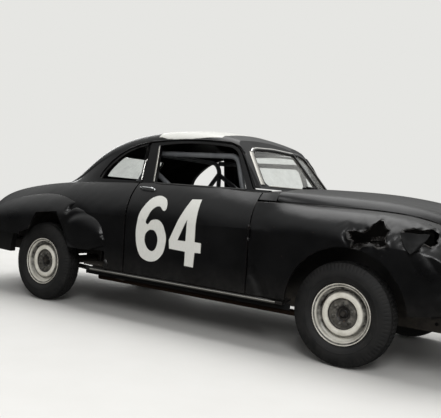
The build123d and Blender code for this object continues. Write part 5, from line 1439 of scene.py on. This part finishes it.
studio = {"background": "e6e6e3", "fill": 0.38, "clearRadius": 3.4, "fadeRadius": 8.0,
          "mirrorFloor": "4a4a48", "mirrorLow": "303132", "mirrorHigh": "e8e9e8"}
paleFloor, tree, where = newMaterial("PaleStudioFloor")
place = where["Object"]
distance = addNode(tree, "ShaderNodeVectorMath", {"operation": "LENGTH"}, links={0: place})
fade = addNode(tree, "ShaderNodeMapRange", {"interpolation_type": "SMOOTHSTEP"},
               {"From Min": studio["clearRadius"], "From Max": studio["fadeRadius"]},
               {"Value": distance.outputs["Value"]})
mottle = addNode(tree, "ShaderNodeTexNoise", values={"Scale": 3.0, "Detail": 6.0}, links={"Vector": place})
tone = mixTones(tree, mottle.outputs["Fac"], "d5d4d0", "dcdbd8")
matt = addNode(tree, "ShaderNodeBsdfPrincipled", values={"Roughness": 0.85}, links={"Base Color": tone})
glow = addNode(tree, "ShaderNodeEmission", values={"Color": linear(studio["background"]), "Strength": 1.0})
floorMix = addNode(tree, "ShaderNodeMixShader",
                   links={0: fade.outputs[0], 1: matt.outputs[0], 2: glow.outputs[0]})
# black paint mirrors a dim floor, as it mirrors the dark ground in the open
dim = addNode(tree, "ShaderNodeEmission", values={"Color": linear(studio["mirrorFloor"]), "Strength": 1.0})
glossy = addNode(tree, "ShaderNodeLightPath").outputs["Is Glossy Ray"]
floorSeen = addNode(tree, "ShaderNodeMixShader", links={0: glossy, 1: floorMix.outputs[0], 2: dim.outputs[0]})
addNode(tree, "ShaderNodeOutputMaterial", links={"Surface": floorSeen.outputs[0]})
bm = bmesh.new()
bmesh.ops.create_circle(bm, cap_ends=True, radius=80.0, segments=64)
floorDisc = bpy.data.objects.new("studioFloor", bakedFrom("studioFloor", bm))
floorDisc.data.materials.append(paleFloor)
bpy.context.scene.collection.objects.link(floorDisc)

world = bpy.data.worlds.new("softStudio")
bpy.context.scene.world = world
world.use_nodes = True
tree = world.node_tree
tree.nodes.clear()
rays = addNode(tree, "ShaderNodeLightPath").outputs
seen = reckon(tree, "MAXIMUM", rays["Is Camera Ray"], rays["Is Transmission Ray"])
shown = addNode(tree, "ShaderNodeBackground", values={"Color": linear(studio["background"]), "Strength": 1.0})
fill = addNode(tree, "ShaderNodeBackground", values={"Color": (1, 1, 1, 1), "Strength": studio["fill"]})
# paint and chrome mirror a dim wall low down and a bright ceiling above it
heading = addNode(tree, "ShaderNodeSeparateXYZ",
                  links={0: addNode(tree, "ShaderNodeTexCoord").outputs["Generated"]})
rise = addNode(tree, "ShaderNodeMapRange", {"interpolation_type": "SMOOTHSTEP"},
               {"From Min": 0.1, "From Max": 0.62}, {"Value": heading.outputs["Z"]})
mirrored = mixTones(tree, rise.outputs[0], studio["mirrorLow"], studio["mirrorHigh"])
mirror = addNode(tree, "ShaderNodeBackground", links={"Color": mirrored})
unseen = addNode(tree, "ShaderNodeMixShader", links={0: rays["Is Glossy Ray"], 1: fill.outputs[0],
                                                     2: mirror.outputs[0]})
both = addNode(tree, "ShaderNodeMixShader", links={0: seen, 1: unseen.outputs[0], 2: shown.outputs[0]})
addNode(tree, "ShaderNodeOutputWorld", links={"Surface": both.outputs[0]})

# place, aim, size and watts of each soft lamp
lamps = {"overhead": ((0.2, 0.6, 9.0), (0.1, 0.0, 0.6), 8.0, 720.0),
         "key": ((4.6, -6.2, 4.6), (0.6, -0.4, 0.6), 2.6, 240.0),
         "tail": ((-5.5, 3.5, 3.6), (-0.5, 0.2, 0.7), 3.0, 110.0)}
for name, (where, aim, size, watts) in lamps.items():
    light = bpy.data.lights.new(name, "AREA")
    light.shape = "SQUARE"
    light.size = size
    light.energy = watts
    lamp = bpy.data.objects.new(name, light)
    lamp.location = where
    lamp.rotation_mode = "QUATERNION"
    lamp.rotation_quaternion = (Vector(aim) - Vector(where)).to_track_quat("-Z", "Y")
    bpy.context.scene.collection.objects.link(lamp)

bpy.context.scene.view_settings.view_transform = "Standard"

print("scene is ready")
